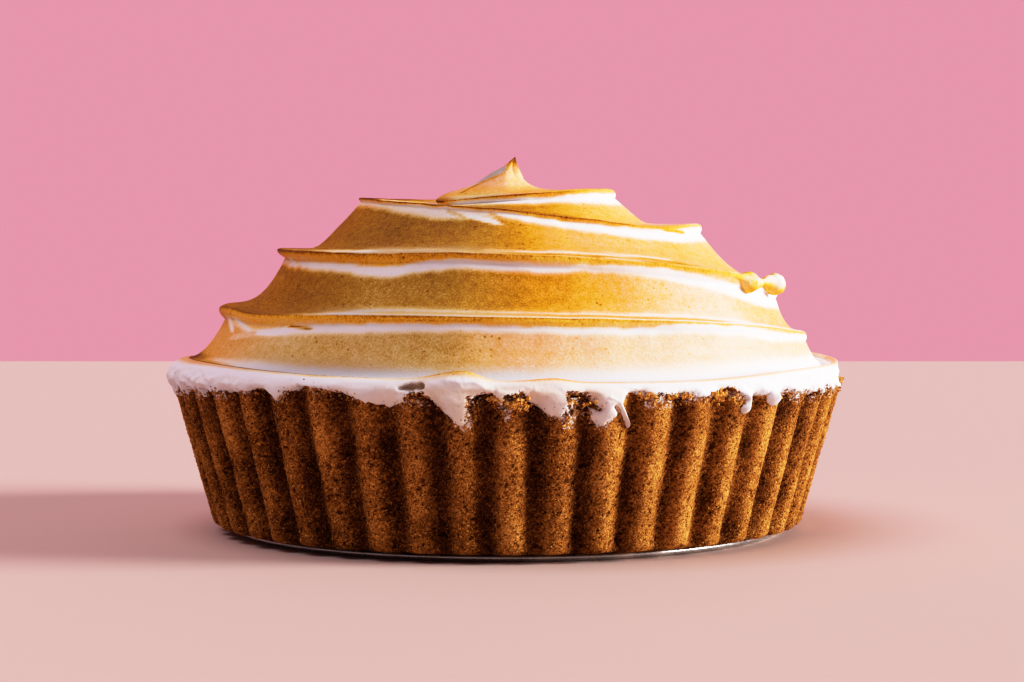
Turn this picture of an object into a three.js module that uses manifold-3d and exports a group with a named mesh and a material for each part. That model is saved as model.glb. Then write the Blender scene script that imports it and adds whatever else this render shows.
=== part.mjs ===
// Pumpkin meringue pie: a deep fluted crumb crust on the loose base of its tin,
// topped with a dome of meringue that is swirled into one rising spiral ridge.
// Millimetres, +Z up. The origin is the centre of the underside of the tin's base.
import * as THREE from 'three';
import { mergeVertices } from 'three/addons/utils/BufferGeometryUtils.js';
import Module from 'manifold-3d';

// ---- Driving dimensions ----------------------------------------------------------------

const GAP = 0.3;             // clearance kept between touching pieces

// Loose base of the tin: a flat disc with a rolled edge.
const BASE_RADIUS = 98;
const BASE_HEIGHT = 2.6;
const BASE_ROLL = 0.9;       // radius of the rolled edge
const BASE_SIDES = 64;

// Crust, solid with its filling.
const FLUTES = 48;
const RIM_RADIUS = 118.8;    // crest of a flute at the rim
const RIM_HEIGHT = 50;       // top of the crust
const WALL_SLOPE = 0.286;    // radius gained for each millimetre of height
const FLUTE_DEPTH = 3.8;     // from crest to valley
const FLUTE_TURN = 0.7;      // degrees that the first crest is turned from the front
const FOOT_ROUND = 4;        // rounding where the wall meets the bottom
const RIM_ROUND = 1.2;       // rounding of the rim's edge
const FLUTE_STEPS = [-0.35, -0.17, 0, 0.17, 0.35, 0.5];  // parts of one flute's width

// Meringue.
const TURN_STEPS = 84;       // steps round one turn of the swirl
const HOLLOW_STEPS = 4;      // steps across the hollow between two turns of the ridge
const SWIRL_START = -0.45;   // turn at which the ridge leaves the rim
const SWIRL_END = 4.05;      // turn at which the ridge runs out in the peak
const PEAK_HEIGHT = 134.4;
const PEAK_OFFSET = 2.9;     // the tip leans this far towards +X
const LIP_RADIUS = 116.2;    // top edge of the band round the rim
const LIP_SHIFT = 2.2;       // that edge lies this much further out at +X, and in at -X
const BAND_RADIUS = 120.3;   // widest part of that band
const BAND_SHIFT = 1.2;      // the band bulges this much more towards -X than towards +X
const BAND_EDGE = 49.6;      // lower edge of the band, between drips
const BAND_THICK = 1.8;      // how far the band stands off the crust's crests

// The ridge of the swirl. Turns are counted from +X, clockwise as seen from above.
//              turn   radius  height
const RIDGE = [
  [SWIRL_START, 116.8, 60.5],
  [-0.2, 111.5, 64.5],
  [0.03, 107.6, 70.6],
  [0.16, 105.6, 74.2],
  [0.32, 104.4, 76.2],
  [0.40, 103.8, 76.8],
  [0.425, 103.6, 78.4],
  [0.47, 103.3, 79.2],
  [0.75, 101.5, 84.5],
  [1.03, 97.0, 87.8],
  [1.16, 92.8, 92.8],
  [1.27, 89.2, 95.8],
  [1.34, 87.0, 96.2],
  [1.48, 82.8, 100.2],
  [1.75, 76.5, 105.0],
  [2.01, 70.2, 109.3],
  [2.12, 66.2, 106.6],
  [2.25, 61.7, 110.8],
  [2.49, 52.9, 119.1],
  [2.75, 46.0, 121.4],
  [3.01, 39.6, 121.9],
  [3.19, 33.9, 119.0],
  [3.36, 28.9, 117.1],
  [3.49, 25.2, 118.6],
  [3.70, 18.5, 121.6],
  [3.90, 9.0, 126.0],
  [SWIRL_END, 0, PEAK_HEIGHT],
];

// How the ridge's lip hangs over the hollow below it: turn, overhang, thickness of the lip.
const LIP = [
  [SWIRL_START, 0, 0.1],
  [0.03, 0.1, 3.0],
  [0.30, 1.2, 3.2],
  [0.40, 2.0, 3.6],
  [0.47, 1.9, 4.2],
  [0.60, 1.5, 4.0],
  [1.03, 0.8, 5.0],
  [1.30, 1.2, 3.2],
  [1.48, 1.4, 3.2],
  [1.62, 1.2, 3.2],
  [2.01, 0.3, 2.8],
  [2.25, 0.3, 1.6],
  [2.49, 0.5, 1.4],
  [2.60, 0.4, 2.4],
  [3.01, 0.3, 2.8],
  [3.49, 0.6, 1.6],
  [3.70, 0.2, 0.6],
  [SWIRL_END, 0, 0.1],
];

// How a hollow rises to the ridge above it: turn, steepness, share of the rise that
// belongs to the drawn-up tip, corner between a shelf and a straight slope, share of
// that straight form.
const HOLLOW = [
  [SWIRL_START, 2.4, 0, 0.4, 0],
  [-0.06, 3.8, 0, 0.4, 0],
  [0.04, 3.8, 0, 0.4, 0],
  [0.15, 2.8, 0, 0.4, 0],
  [0.30, 2.4, 0, 0.4, 0],
  [0.42, 1.9, 0, 0.4, 0],
  [0.60, 2.2, 0, 0.4, 0],
  [0.95, 2.8, 0, 0.4, 0],
  [1.08, 2.7, 0, 0.4, 0],
  [1.30, 2.4, 0, 0.4, 0],
  [1.47, 3.1, 0, 0.4, 0],
  [1.65, 2.4, 0, 0.4, 0],
  [1.95, 2.1, 0, 0.4, 0],
  [2.28, 2.3, 0, 0.4, 0],
  [2.42, 2.4, 0, 0.46, 0.8],
  [2.55, 2.4, 0, 0.48, 1],
  [2.75, 2.4, 0, 0.55, 0.8],
  [3.00, 2.4, 0, 0.66, 0.9],
  [3.18, 2.4, 0, 0.5, 0.4],
  [3.3, 2.4, 0, 0.4, 0],
  [3.75, 2.8, 0.15, 0.4, 0],
  [4.0, 6.0, 0.35, 0.4, 0],
  [4.25, 2.6, 0.38, 0.4, 0],
  [4.5, 1.1, 0.38, 0.4, 0],
  [4.8, 1.8, 0.38, 0.4, 0],
  [5.05, 6.0, 0.38, 0.4, 0],
];
const CORNER_ROUND = 0.06;   // rounding of the corner between shelf and slope
const TIP_POWER = 12;        // how sharply the tip is drawn up

// Height of the band's top edge round the rim: turn, height. It closes on itself.
const RIM_LIP = [
  [0, 61.4],
  [0.03, 60.4],
  [0.10, 59.0],
  [0.17, 56.2],
  [0.25, 56.4],
  [0.33, 57.6],
  [0.42, 60.8],
  [0.5, 62.0],
  [0.6, 61.0],
  [0.80, 62.5],
  [0.95, 63.2],
  [1, 61.4],
];
const RIM_TONGUE = { turn: 0.2675, width: 0.013, height: 2.8 };

// Drips of meringue over the crust: azimuth and half-width in degrees, length.
const DRIPS = [
  { azimuth: -140, half: 1.8, length: 1.5 },
  { azimuth: -125, half: 1.8, length: 1.5 },
  { azimuth: -107.5, half: 4.5, length: 1.8 },
  { azimuth: -97, half: 3.4, length: 5.0 },
  { azimuth: -82.5, half: 3.6, length: 4.6 },
  { azimuth: -75.9, half: 2.4, length: 6.8 },
  { azimuth: -71.4, half: 1.9, length: 6.6 },
  { azimuth: -51.9, half: 1.7, length: 4.4 },
  { azimuth: -44.6, half: 1.8, length: 2.2 },
  { azimuth: 25, half: 3, length: 2.5 },
  { azimuth: 72, half: 4, length: 3.5 },
  { azimuth: 119, half: 2.5, length: 4 },
  { azimuth: 164, half: 3, length: 2.5 },
];

// Two small curls that stand off the second turn of the ridge near +X.
const CURLS = [
  { azimuth: -29.8, radius: 92.6, height: 87.6, size: 3.8 },
  { azimuth: -20.4, radius: 97.6, height: 87.1, size: 3.7 },
];
const CURL_SIDES = 10;
const CURL_ROWS = 6;

// ---- Small helpers ---------------------------------------------------------------------

const radians = THREE.MathUtils.degToRad;

/** Smooth curve through rows of [position, value, ...]; returns the values at x. */
function through(rows, x) {
  const last = rows.length - 1;
  if (x <= rows[0][0]) return rows[0].slice(1);
  if (x >= rows[last][0]) return rows[last].slice(1);
  let i = 0;
  while (x > rows[i + 1][0]) i += 1;
  const slope = (k, c) => {
    const a = rows[Math.max(k - 1, 0)];
    const b = rows[Math.min(k + 1, last)];
    return (b[c] - a[c]) / (b[0] - a[0]);
  };
  const width = rows[i + 1][0] - rows[i][0];
  const u = (x - rows[i][0]) / width;
  return rows[i].slice(1).map((_, k) => {
    const c = k + 1;
    const a = rows[i][c];
    const b = rows[i + 1][c];
    const rise = (slope(i, c) * (1 - u) ** 2 * u - slope(i + 1, c) * (1 - u) * u ** 2) * width;
    return a + (b - a) * u * u * (3 - 2 * u) + rise;
  });
}

/** Point at a radius, an azimuth in radians and a height. */
function polar(radius, azimuth, height) {
  return [radius * Math.cos(azimuth), radius * Math.sin(azimuth), height];
}

/** Mesh data that is filled with points and faces. */
class Shell {
  constructor() {
    this.points = [];
    this.faces = [];
  }

  point(position) {
    this.points.push(position);
    return this.points.length - 1;
  }

  face(a, b, c) {
    if (a !== b && b !== c && c !== a) this.faces.push([a, b, c]);
  }

  quad(a, b, c, d) {
    this.face(a, b, c);
    this.face(a, c, d);
  }

  /** Band between two closed rings with the same number of points. */
  band(lower, upper) {
    lower.forEach((_, i) => {
      const k = (i + 1) % lower.length;
      this.quad(lower[i], lower[k], upper[k], upper[i]);
    });
  }

  /** Fan from a closed ring to one point. */
  fan(ring, centre) {
    ring.forEach((_, i) => this.face(ring[i], ring[(i + 1) % ring.length], centre));
  }

  geometry() {
    const geometry = new THREE.BufferGeometry();
    geometry.setAttribute('position', new THREE.Float32BufferAttribute(this.points.flat(), 3));
    geometry.setIndex(this.faces.flat());
    return geometry;
  }
}

// ---- Solids joined by manifold-3d ------------------------------------------------------

const wasm = await Module();
wasm.setup();

/** Closed geometry to a solid. */
function toSolid(geometry) {
  const bare = geometry.clone();
  bare.deleteAttribute('normal');
  bare.deleteAttribute('uv');
  const merged = mergeVertices(bare, 1e-4);
  return new wasm.Manifold(new wasm.Mesh({
    numProp: 3,
    vertProperties: Float32Array.from(merged.attributes.position.array),
    triVerts: Uint32Array.from(merged.index.array),
  }));
}

/** Solid to a geometry. */
function fromSolid(solid) {
  const { vertProperties, triVerts } = solid.getMesh();
  const geometry = new THREE.BufferGeometry();
  geometry.setAttribute('position', new THREE.BufferAttribute(vertProperties, 3));
  geometry.setIndex(new THREE.BufferAttribute(triVerts, 1));
  return geometry;
}

// ---- Tin base --------------------------------------------------------------------------

/** Flat disc whose edge is rolled round. */
function makeTinBase() {
  const inner = BASE_RADIUS - BASE_ROLL;
  const profile = [
    new THREE.Vector2(0, 0),
    new THREE.Vector2(inner, 0),
    new THREE.Vector2(BASE_RADIUS, BASE_ROLL),
    new THREE.Vector2(BASE_RADIUS, BASE_HEIGHT - BASE_ROLL),
    new THREE.Vector2(inner, BASE_HEIGHT),
    new THREE.Vector2(0, BASE_HEIGHT),
  ];
  return new THREE.LatheGeometry(profile, BASE_SIDES).rotateX(Math.PI / 2);
}

// ---- Crust -----------------------------------------------------------------------------

/** Radius of the flutes' crests at a height. */
function crestRadius(height) {
  return RIM_RADIUS - WALL_SLOPE * (RIM_HEIGHT - height);
}

/** One ring round the crust; depth is how much of the flutes' depth it shows. */
function crustRing(shell, radius, height, depth) {
  const ring = [];
  for (let flute = 0; flute < FLUTES; flute += 1) {
    for (const part of FLUTE_STEPS) {
      const azimuth = radians(-90 + FLUTE_TURN + ((flute + part) * 360) / FLUTES);
      const valley = (1 - Math.cos(2 * Math.PI * part)) / 2;
      const inset = FLUTE_DEPTH * depth * valley ** 1.5;
      ring.push(shell.point(polar(radius - inset, azimuth, height)));
    }
  }
  return ring;
}

/** Solid crust: fluted wall, rounded foot and rim, flat top and bottom. */
function makeCrust() {
  const bottom = BASE_HEIGHT + GAP;
  const shell = new Shell();
  const foot = crestRadius(bottom + FOOT_ROUND);
  const rings = [
    crustRing(shell, foot - FOOT_ROUND, bottom, 0.3),
    crustRing(shell, foot - FOOT_ROUND * 0.3, bottom + FOOT_ROUND * 0.3, 0.8),
    crustRing(shell, foot, bottom + FOOT_ROUND, 1),
    crustRing(shell, crestRadius(RIM_HEIGHT - RIM_ROUND), RIM_HEIGHT - RIM_ROUND, 1),
    crustRing(shell, RIM_RADIUS - RIM_ROUND, RIM_HEIGHT, 0.9),
  ];
  rings.slice(1).forEach((ring, i) => shell.band(rings[i], ring));
  shell.fan(rings[rings.length - 1], shell.point([0, 0, RIM_HEIGHT]));
  shell.fan([...rings[0]].reverse(), shell.point([0, 0, bottom]));
  return shell.geometry();
}

// ---- Meringue --------------------------------------------------------------------------

/** Azimuth in radians of a turn. */
function azimuthOf(turn) {
  return -2 * Math.PI * turn;
}

/** Top edge of the band round the rim, as [radius, height]. */
function rimLip(turn) {
  const part = turn - Math.floor(turn);
  const [height] = through(RIM_LIP, part);
  const tongue = Math.exp(-(((part - RIM_TONGUE.turn) / RIM_TONGUE.width) ** 2));
  const radius = LIP_RADIUS + LIP_SHIFT * Math.cos(2 * Math.PI * turn);
  return [radius, height + RIM_TONGUE.height * tongue];
}

/** Edge that the hollow at this turn starts from: the rim, then the turn below. */
function edgeBelow(turn) {
  return turn < SWIRL_START + 1 ? rimLip(turn) : through(RIDGE, turn - 1);
}

/** Sideways shift that brings the top of the dome over the leaning tip. */
function lean(height) {
  const part = THREE.MathUtils.smoothstep(height, 118, PEAK_HEIGHT);
  return PEAK_OFFSET * part;
}

/** Rise of a hollow, 0 to 1: a curve, or a shelf with a straight slope behind it. */
function climb(part, power, corner, straight) {
  const hinge = (u) => Math.hypot(u - corner, CORNER_ROUND) + u - corner;
  const slope = (hinge(part) - hinge(0)) / (hinge(1) - hinge(0));
  return (1 - straight) * part ** power + straight * slope;
}

/** Point on the hollow below the ridge; across runs from 0, the edge below, to 1. */
function hollowPoint(turn, across) {
  const [outer, low] = edgeBelow(turn);
  const [inner, high] = through(RIDGE, turn);
  const [overhang, thick] = through(LIP, turn);
  const [power, tip, corner, straight] = through(HOLLOW, turn);
  const part = Math.sin((across * Math.PI) / 2);
  const curve = climb(part, power, corner, straight);
  const rise = (1 - tip) * curve + tip * part ** TIP_POWER;
  const radius = outer - (outer - inner + overhang) * part;
  const height = low + (high - thick - low) * rise;
  const [x, y, z] = polar(Math.max(radius, 0), azimuthOf(turn), height);
  return [x + lean(z), y, z];
}

/** Lower edge of the band at an azimuth in degrees. */
function bandEdge(azimuth) {
  let edge = BAND_EDGE;
  for (const drip of DRIPS) {
    const away = Math.abs(THREE.MathUtils.euclideanModulo(azimuth - drip.azimuth + 180, 360) - 180);
    if (away < drip.half) {
      edge -= drip.length * Math.cos((away / drip.half) * (Math.PI / 2)) ** 1.2;
    }
  }
  return edge;
}

/** Swirled dome from the rim's lip to the tip; returns the lip's ring of points. */
function addSwirl(shell) {
  const steps = Math.round((SWIRL_END + 1 - SWIRL_START) * TURN_STEPS);
  const tip = shell.point([PEAK_OFFSET, 0, PEAK_HEIGHT]);
  const start = shell.point(hollowPoint(SWIRL_START, 0));
  const columns = [];
  for (let i = 0; i <= steps; i += 1) {
    const turn = SWIRL_START + i / TURN_STEPS;
    const column = [];
    for (let j = 0; j <= HOLLOW_STEPS; j += 1) {
      if (i === 0 || (i === TURN_STEPS && j === 0)) column.push(start);
      else if (i === steps) column.push(tip);
      else column.push(shell.point(hollowPoint(turn, j / HOLLOW_STEPS)));
    }
    columns.push(column);
  }
  columns.forEach((column, i) => {
    const above = columns[i + TURN_STEPS];
    column.push(above ? above[0] : tip);
  });
  columns.slice(1).forEach((column, i) => {
    const before = columns[i];
    for (let j = 0; j <= HOLLOW_STEPS; j += 1) {
      shell.quad(column[j], before[j], before[j + 1], column[j + 1]);
    }
  });
  return columns.slice(0, TURN_STEPS).map((column) => column[0]);
}

/** Band that hangs over the crust's rim, and the flat underside on the crust. */
function addBand(shell, lipRing) {
  const under = RIM_HEIGHT + GAP;
  const count = 2 * TURN_STEPS;
  const bulge = [];
  const edge = [];
  const hidden = [];
  const seat = [];
  for (let i = 0; i < count; i += 1) {
    const turn = SWIRL_START + i / count;
    const azimuth = azimuthOf(turn);
    const low = bandEdge(THREE.MathUtils.radToDeg(azimuth));
    const wave = 0.5 * Math.sin(5 * azimuth + 1) + 0.4 * Math.sin(13 * azimuth);
    const wide = BAND_RADIUS + wave - BAND_SHIFT * Math.cos(azimuth);
    bulge.push(shell.point(polar(wide, azimuth, rimLip(turn)[1] - 3.2)));
    edge.push(shell.point(polar(crestRadius(low) + BAND_THICK, azimuth, low)));
    hidden.push(shell.point(polar(crestRadius(low) + 1.5 * GAP, azimuth, low + GAP)));
    seat.push(shell.point(polar(RIM_RADIUS + 1.5 * GAP, azimuth, under)));
  }
  lipRing.forEach((point, i) => {
    const next = lipRing[(i + 1) % lipRing.length];
    const a = bulge[2 * i];
    const b = bulge[2 * i + 1];
    const c = bulge[(2 * i + 2) % count];
    shell.face(b, a, point);
    shell.face(b, point, next);
    shell.face(c, b, next);
  });
  shell.band(bulge, edge);
  shell.band(edge, hidden);
  shell.band(hidden, seat);
  shell.fan(seat, shell.point([0, 0, under]));
}

/** Small curl: a bent drop of meringue. */
function makeCurl({ azimuth, radius, height, size }) {
  const geometry = new THREE.SphereGeometry(size, CURL_SIDES, CURL_ROWS);
  geometry.scale(1, 1.2, 1);
  geometry.rotateZ(radians(azimuth));
  return geometry.translate(...polar(radius, radians(azimuth), height));
}

/** Whole meringue: swirl, band with its drips, and curls. */
function makeMeringue() {
  const shell = new Shell();
  addBand(shell, addSwirl(shell));
  const curls = CURLS.map((curl) => toSolid(makeCurl(curl)));
  const whole = curls.reduce((solid, curl) => solid.add(curl), toSolid(shell.geometry()));
  return fromSolid(whole);
}

// ---- Scene graph -----------------------------------------------------------------------

/** Named mesh with its own material. */
function piece(name, geometry, color, roughness, metalness) {
  const material = new THREE.MeshStandardMaterial({ color, roughness, metalness });
  const mesh = new THREE.Mesh(geometry, material);
  mesh.name = name;
  return mesh;
}

const pie = new THREE.Group();
pie.name = 'pumpkin_meringue_pie';
pie.add(piece('tin_base', makeTinBase(), 0xb9b7b4, 0.3, 1));
pie.add(piece('crust', makeCrust(), 0x8a4a1e, 0.9, 0));
pie.add(piece('meringue', makeMeringue(), 0xe9c489, 0.6, 0));

export default pie;
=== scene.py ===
"""Looks of the pumpkin meringue pie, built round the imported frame.

Shapes are worked out in millimetres, in the frame's axes, and written to meshes in metres.
Azimuths are in radians from +X, anticlockwise from above. Turns of the swirl run clockwise.
"""

import itertools
import math

import bpy
import numpy as np
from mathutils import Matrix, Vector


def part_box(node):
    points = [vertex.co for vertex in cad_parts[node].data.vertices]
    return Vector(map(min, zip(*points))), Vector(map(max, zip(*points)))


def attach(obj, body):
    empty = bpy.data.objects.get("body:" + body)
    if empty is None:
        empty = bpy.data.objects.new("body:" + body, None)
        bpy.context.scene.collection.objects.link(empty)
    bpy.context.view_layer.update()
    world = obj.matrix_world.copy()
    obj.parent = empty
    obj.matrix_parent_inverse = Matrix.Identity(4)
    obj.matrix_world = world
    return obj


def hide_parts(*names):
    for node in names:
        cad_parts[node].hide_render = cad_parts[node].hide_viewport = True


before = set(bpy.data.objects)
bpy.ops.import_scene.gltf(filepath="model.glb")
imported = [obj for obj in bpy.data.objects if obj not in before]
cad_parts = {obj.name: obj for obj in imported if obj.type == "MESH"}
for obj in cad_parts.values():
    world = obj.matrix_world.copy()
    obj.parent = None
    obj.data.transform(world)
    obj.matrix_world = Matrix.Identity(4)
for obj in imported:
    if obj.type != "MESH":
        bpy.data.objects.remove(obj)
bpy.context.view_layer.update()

MM = 0.001
TAU = 2 * math.pi


def add_object(name, data):
    """Object of the scene with this mesh, light or camera."""
    made = bpy.data.objects.new(name, data)
    bpy.context.scene.collection.objects.link(made)
    return made


# ---- Sizes from the frame ----

crust_low, crust_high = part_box("crust")
_, meringue_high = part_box("meringue")
_, tin_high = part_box("tin_base")

CRUST_BOTTOM = crust_low.z / MM
RIM_HEIGHT = crust_high.z / MM
PEAK_HEIGHT = meringue_high.z / MM
TIN_RADIUS = tin_high.x / MM
TIN_HEIGHT = tin_high.z / MM

# ---- Sizes shared with the solids, with finer steps in some tables ----

RIM_RADIUS = 118.8
FLUTES = 48
WALL_SLOPE = 0.286           # radius gained for each millimetre of height
FLUTE_DEPTH = 3.8
FLUTE_TURN = math.radians(0.7)
FOOT_ROUND = 4.0

SWIRL_START = -0.45
SWIRL_END = 4.05
PEAK_START = SWIRL_END - 0.6

# Sideways lean of the peak: height, offset.
LEAN = np.array([
    [114, 0], [119, -0.6], [123, -1.3], [127, -1], [130, 0], [132.4, 1.3], [134.4, 2.9],
])
LIP_RADIUS = 116.2
LIP_SHIFT = 2.2              # the band's top edge lies this much further out at +X

# Edge of the ridge: turn, radius, height.
RIDGE = np.array([
    [SWIRL_START, 116.8, 60.5], [-0.2, 111.5, 64.5], [0.03, 107.6, 70.6], [0.16, 105.6, 74.2],
    [0.32, 104.4, 76.2], [0.4, 103.8, 76.8], [0.425, 103.6, 78.4], [0.445, 103.4, 79.2],
    [0.47, 103.3, 79.2], [0.75, 101.5, 84.5], [1.03, 97, 87.8], [1.16, 92.8, 92.8], [1.27, 89.2, 95.8],
    [1.34, 87, 96.2], [1.48, 82.8, 100.2], [1.75, 76.5, 105], [2.01, 70.2, 109.3], [2.12, 66.2, 106.6],
    [2.25, 61.7, 110.8], [2.49, 52.9, 119.1], [2.75, 46, 121.4], [3.01, 39.6, 121.9], [3.19, 33.9, 119],
    [3.36, 28.9, 117.1], [3.49, 25.2, 118.6], [3.7, 18.5, 121.6], [3.9, 9, 126],
    [SWIRL_END, 0, PEAK_HEIGHT],
])

# How the lip hangs over the hollow below it: turn, overhang, thickness, height of the
# rounded crown behind its edge.
LIP = np.array([
    [SWIRL_START, 0, 0.1, 0], [0.03, 0, 2.8, 0.4], [0.3, 0.7, 3, 0.4], [0.4, 1.5, 3.4, 0.9],
    [0.47, 1.7, 4.2, 3.2], [0.6, 1.5, 4, 1], [1.03, 0.8, 5, 0.5], [1.22, 0.5, 3.8, 0.4],
    [1.3, 1.1, 3.2, 0.4], [1.48, 2.7, 3.2, 0.7], [1.62, 1.2, 3.2, 0.4], [2.01, 0.3, 2.8, 0.4],
    [2.18, 0.2, 1.8, 0.3], [2.25, 0.1, 1.4, 0.3], [2.32, 0.2, 1.5, 0.3], [2.49, 0.5, 1.3, 0.2],
    [2.6, 0.4, 2.4, 0.3], [3.01, 0.3, 2.8, 0.4], [3.45, 0.6, 1.6, 2.4], [3.55, 0.6, 1.6, 2.4],
    [3.7, 0.2, 0.6, 0.2], [SWIRL_END, 0, 0.1, 0],
])

# Steepness of the curve by which a hollow rises to the ridge above it: turn, power.
STEEPNESS = np.array([
    [SWIRL_START, 2.4], [-0.06, 3.8], [0.04, 3.8], [0.15, 2.8], [0.3, 2.4], [0.42, 1.9], [0.52, 1.9],
    [0.6, 2.2], [0.95, 2.8], [1.08, 2.7], [1.3, 2.4], [1.42, 3], [1.52, 3.2], [1.65, 2.4], [1.95, 2.1],
    [2.1, 2.1], [2.28, 2.3], [2.42, 2.4], [2.55, 2.4], [3.18, 2.4], [3.3, 2.4], [3.75, 2.8], [4, 6],
    [4.25, 2.6], [4.5, 1.1], [4.8, 1.8], [5.05, 6],
])

# Share of the rise that is left for the drawn-up tip: turn, share.
TIP_SHARE = np.array([
    [3.18, 0], [3.3, 0], [3.75, 0.15], [4, 0.35], [4.25, 0.38], [4.5, 0.38],
])

# Where a hollow is a flat shelf with a straight slope behind it: turn, place of the corner
# between the two, share of that form.
SHELF = np.array([
    [SWIRL_START, 0.4, 0], [-0.06, 0.7, 0.9], [0.04, 0.7, 0.9], [0.15, 0.4, 0], [0.3, 0.4, 0],
    [2.1, 0.4, 0], [2.28, 0.4, 0], [2.42, 0.46, 0.8], [2.55, 0.48, 1], [2.75, 0.55, 0.8],
    [2.95, 0.66, 0.9], [3.05, 0.66, 0.9], [3.18, 0.5, 0.4], [3.3, 0.4, 0], [3.75, 0.4, 0],
])
CORNER_ROUND = 0.06
TIP_POWER = 12

# The two small mounds on the band's top edge: height, turn, widths to either side.
MOUNDS = ((2.9, 0.2675, 0.0155, 0.0085), (1, 0.2305, 0.012, 0.008))

# Height of the band's top edge round the rim: turn, height.
RIM_LIP = np.array([
    [0, 61.4], [0.03, 60.4], [0.1, 59], [0.17, 56.2], [0.25, 56.4], [0.33, 57.6], [0.42, 60.8],
    [0.5, 62], [0.6, 61], [0.8, 62.5], [0.95, 63.2], [1, 61.4],
])


# ---- Camera ----

SENSOR_WIDTH = 36
LENS = 59.77
CAMERA_PLACE = (1.7, -620, 72.3)
CAMERA_DIP = 0.46            # degrees that the camera looks down


def add_camera():
    """Camera level with the middle of the pie, a little over half a metre in front of it."""
    data = bpy.data.cameras.new("camera")
    data.sensor_width = SENSOR_WIDTH
    data.lens = LENS
    camera = add_object("camera", data)
    camera.location = [value * MM for value in CAMERA_PLACE]
    camera.rotation_euler = (math.radians(90 - CAMERA_DIP), 0, 0)
    bpy.context.scene.camera = camera


add_camera()


# ---- Number helpers ----

def through(rows, x):
    """Smooth curve through rows of (position, values...); returns an array per value."""
    x = np.clip(np.asarray(x, float), rows[0, 0], rows[-1, 0])
    last = len(rows) - 1
    i = np.clip(np.searchsorted(rows[:, 0], x, side="right") - 1, 0, last - 1)
    before = np.maximum(np.arange(last + 1) - 1, 0)
    after = np.minimum(np.arange(last + 1) + 1, last)
    slope = (rows[after, 1:] - rows[before, 1:]) / (rows[after, :1] - rows[before, :1])
    width = rows[i + 1, 0] - rows[i, 0]
    u = ((x - rows[i, 0]) / width)[..., None]
    a = rows[i, 1:]
    b = rows[i + 1, 1:]
    bend = (slope[i] * (1 - u) ** 2 * u - slope[i + 1] * (1 - u) * u ** 2) * width[..., None]
    value = a + (b - a) * u * u * (3 - 2 * u) + bend
    return np.moveaxis(value, -1, 0)


def ease(x, low, high):
    """Smooth step from 0 at low to 1 at high."""
    u = np.clip((x - low) / (high - low), 0, 1)
    return u * u * (3 - 2 * u)


def bell(x, width):
    """Smooth hump, 1 where x is 0."""
    return np.exp(-(x / width) ** 2)


def plateau(x, low, high, stop, end):
    """Smooth step up from 0 at low to 1 at high, and down again from stop to end."""
    return ease(x, low, high) * (1 - ease(x, stop, end))


def rounded(u):
    """Rise from 0 to 1 like a quarter of a circle, steep at first."""
    return np.sqrt(1 - (1 - np.clip(u, 0, 1)) ** 2)


def toward(a, b, amount):
    """Value on the way from a, at amount 0, to b, at amount 1."""
    return a + (b - a) * amount


# Large odd multipliers and shifts that stir the bits of a cell's numbers.
STIR_CELL = np.array([374761393, 668265263, 2246822519], np.uint32)
STIR_SEED = 3266489917
STIR_STEPS = ((13, 1274126177), (16, 2654435761), (15, 1))
LARGEST = 0xFFFFFFFF


def random_at(cells, seed):
    """Fixed random value from 0 to 1 for each whole-numbered cell (n, 3)."""
    mixed = cells.astype(np.int64).astype(np.uint32) * STIR_CELL
    mixed = mixed.sum(axis=-1, dtype=np.uint32)
    mixed = mixed + np.uint32((seed * 97 + 13) * STIR_SEED & LARGEST)
    for shift, factor in STIR_STEPS:
        mixed = (mixed ^ (mixed >> np.uint32(shift))) * np.uint32(factor)
    return mixed.astype(np.float64) / LARGEST


def noise(points, scale, seed):
    """Smooth noise from -1 to 1; scale is the size of its features, one or three numbers."""
    p = points / np.asarray(scale, float)
    cell = np.floor(p)
    f = p - cell
    w = f * f * (3 - 2 * f)
    total = np.zeros(p.shape[:-1])
    for corner in itertools.product((0, 1), repeat=3):
        side = np.array(corner)
        weight = np.prod(np.where(side == 1, w, 1 - w), axis=-1)
        total += weight * random_at(cell + side, seed)
    return 2 * total - 1


LAYERS = 3


def layered(points, scale, seed):
    """Sum of noises, each half as large and half as strong as the one before."""
    total = 0
    for k in range(LAYERS):
        total = total + noise(points, np.asarray(scale, float) / 2 ** k, seed + k) / 2 ** k
    return total / (2 - 2 ** (1 - LAYERS))


def grains(points, size, seed):
    """Distance to the nearest grain's centre, in grain sizes, and that grain's own value."""
    p = points / size
    cell = np.floor(p)
    best = np.full(p.shape[:-1], 9.0)
    value = np.zeros(p.shape[:-1])
    for step in itertools.product((-1, 0, 1), repeat=3):
        near = cell + np.array(step)
        centre = near + np.stack([random_at(near, seed + k) for k in range(3)], axis=-1)
        away = np.sqrt(((p - centre) ** 2).sum(axis=-1))
        closer = away < best
        best = np.where(closer, away, best)
        value = np.where(closer, random_at(near, seed + 3), value)
    return best, value


def circle(count):
    """Angles of so many points spread evenly round a circle."""
    return np.arange(count) * TAU / count


def polar(radius, azimuth, height):
    """Points at a radius, an azimuth and a height."""
    radius, azimuth, height = np.broadcast_arrays(radius, azimuth, height)
    return np.stack([radius * np.cos(azimuth), radius * np.sin(azimuth), height], axis=-1)


# ---- Mesh helpers ----

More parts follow.
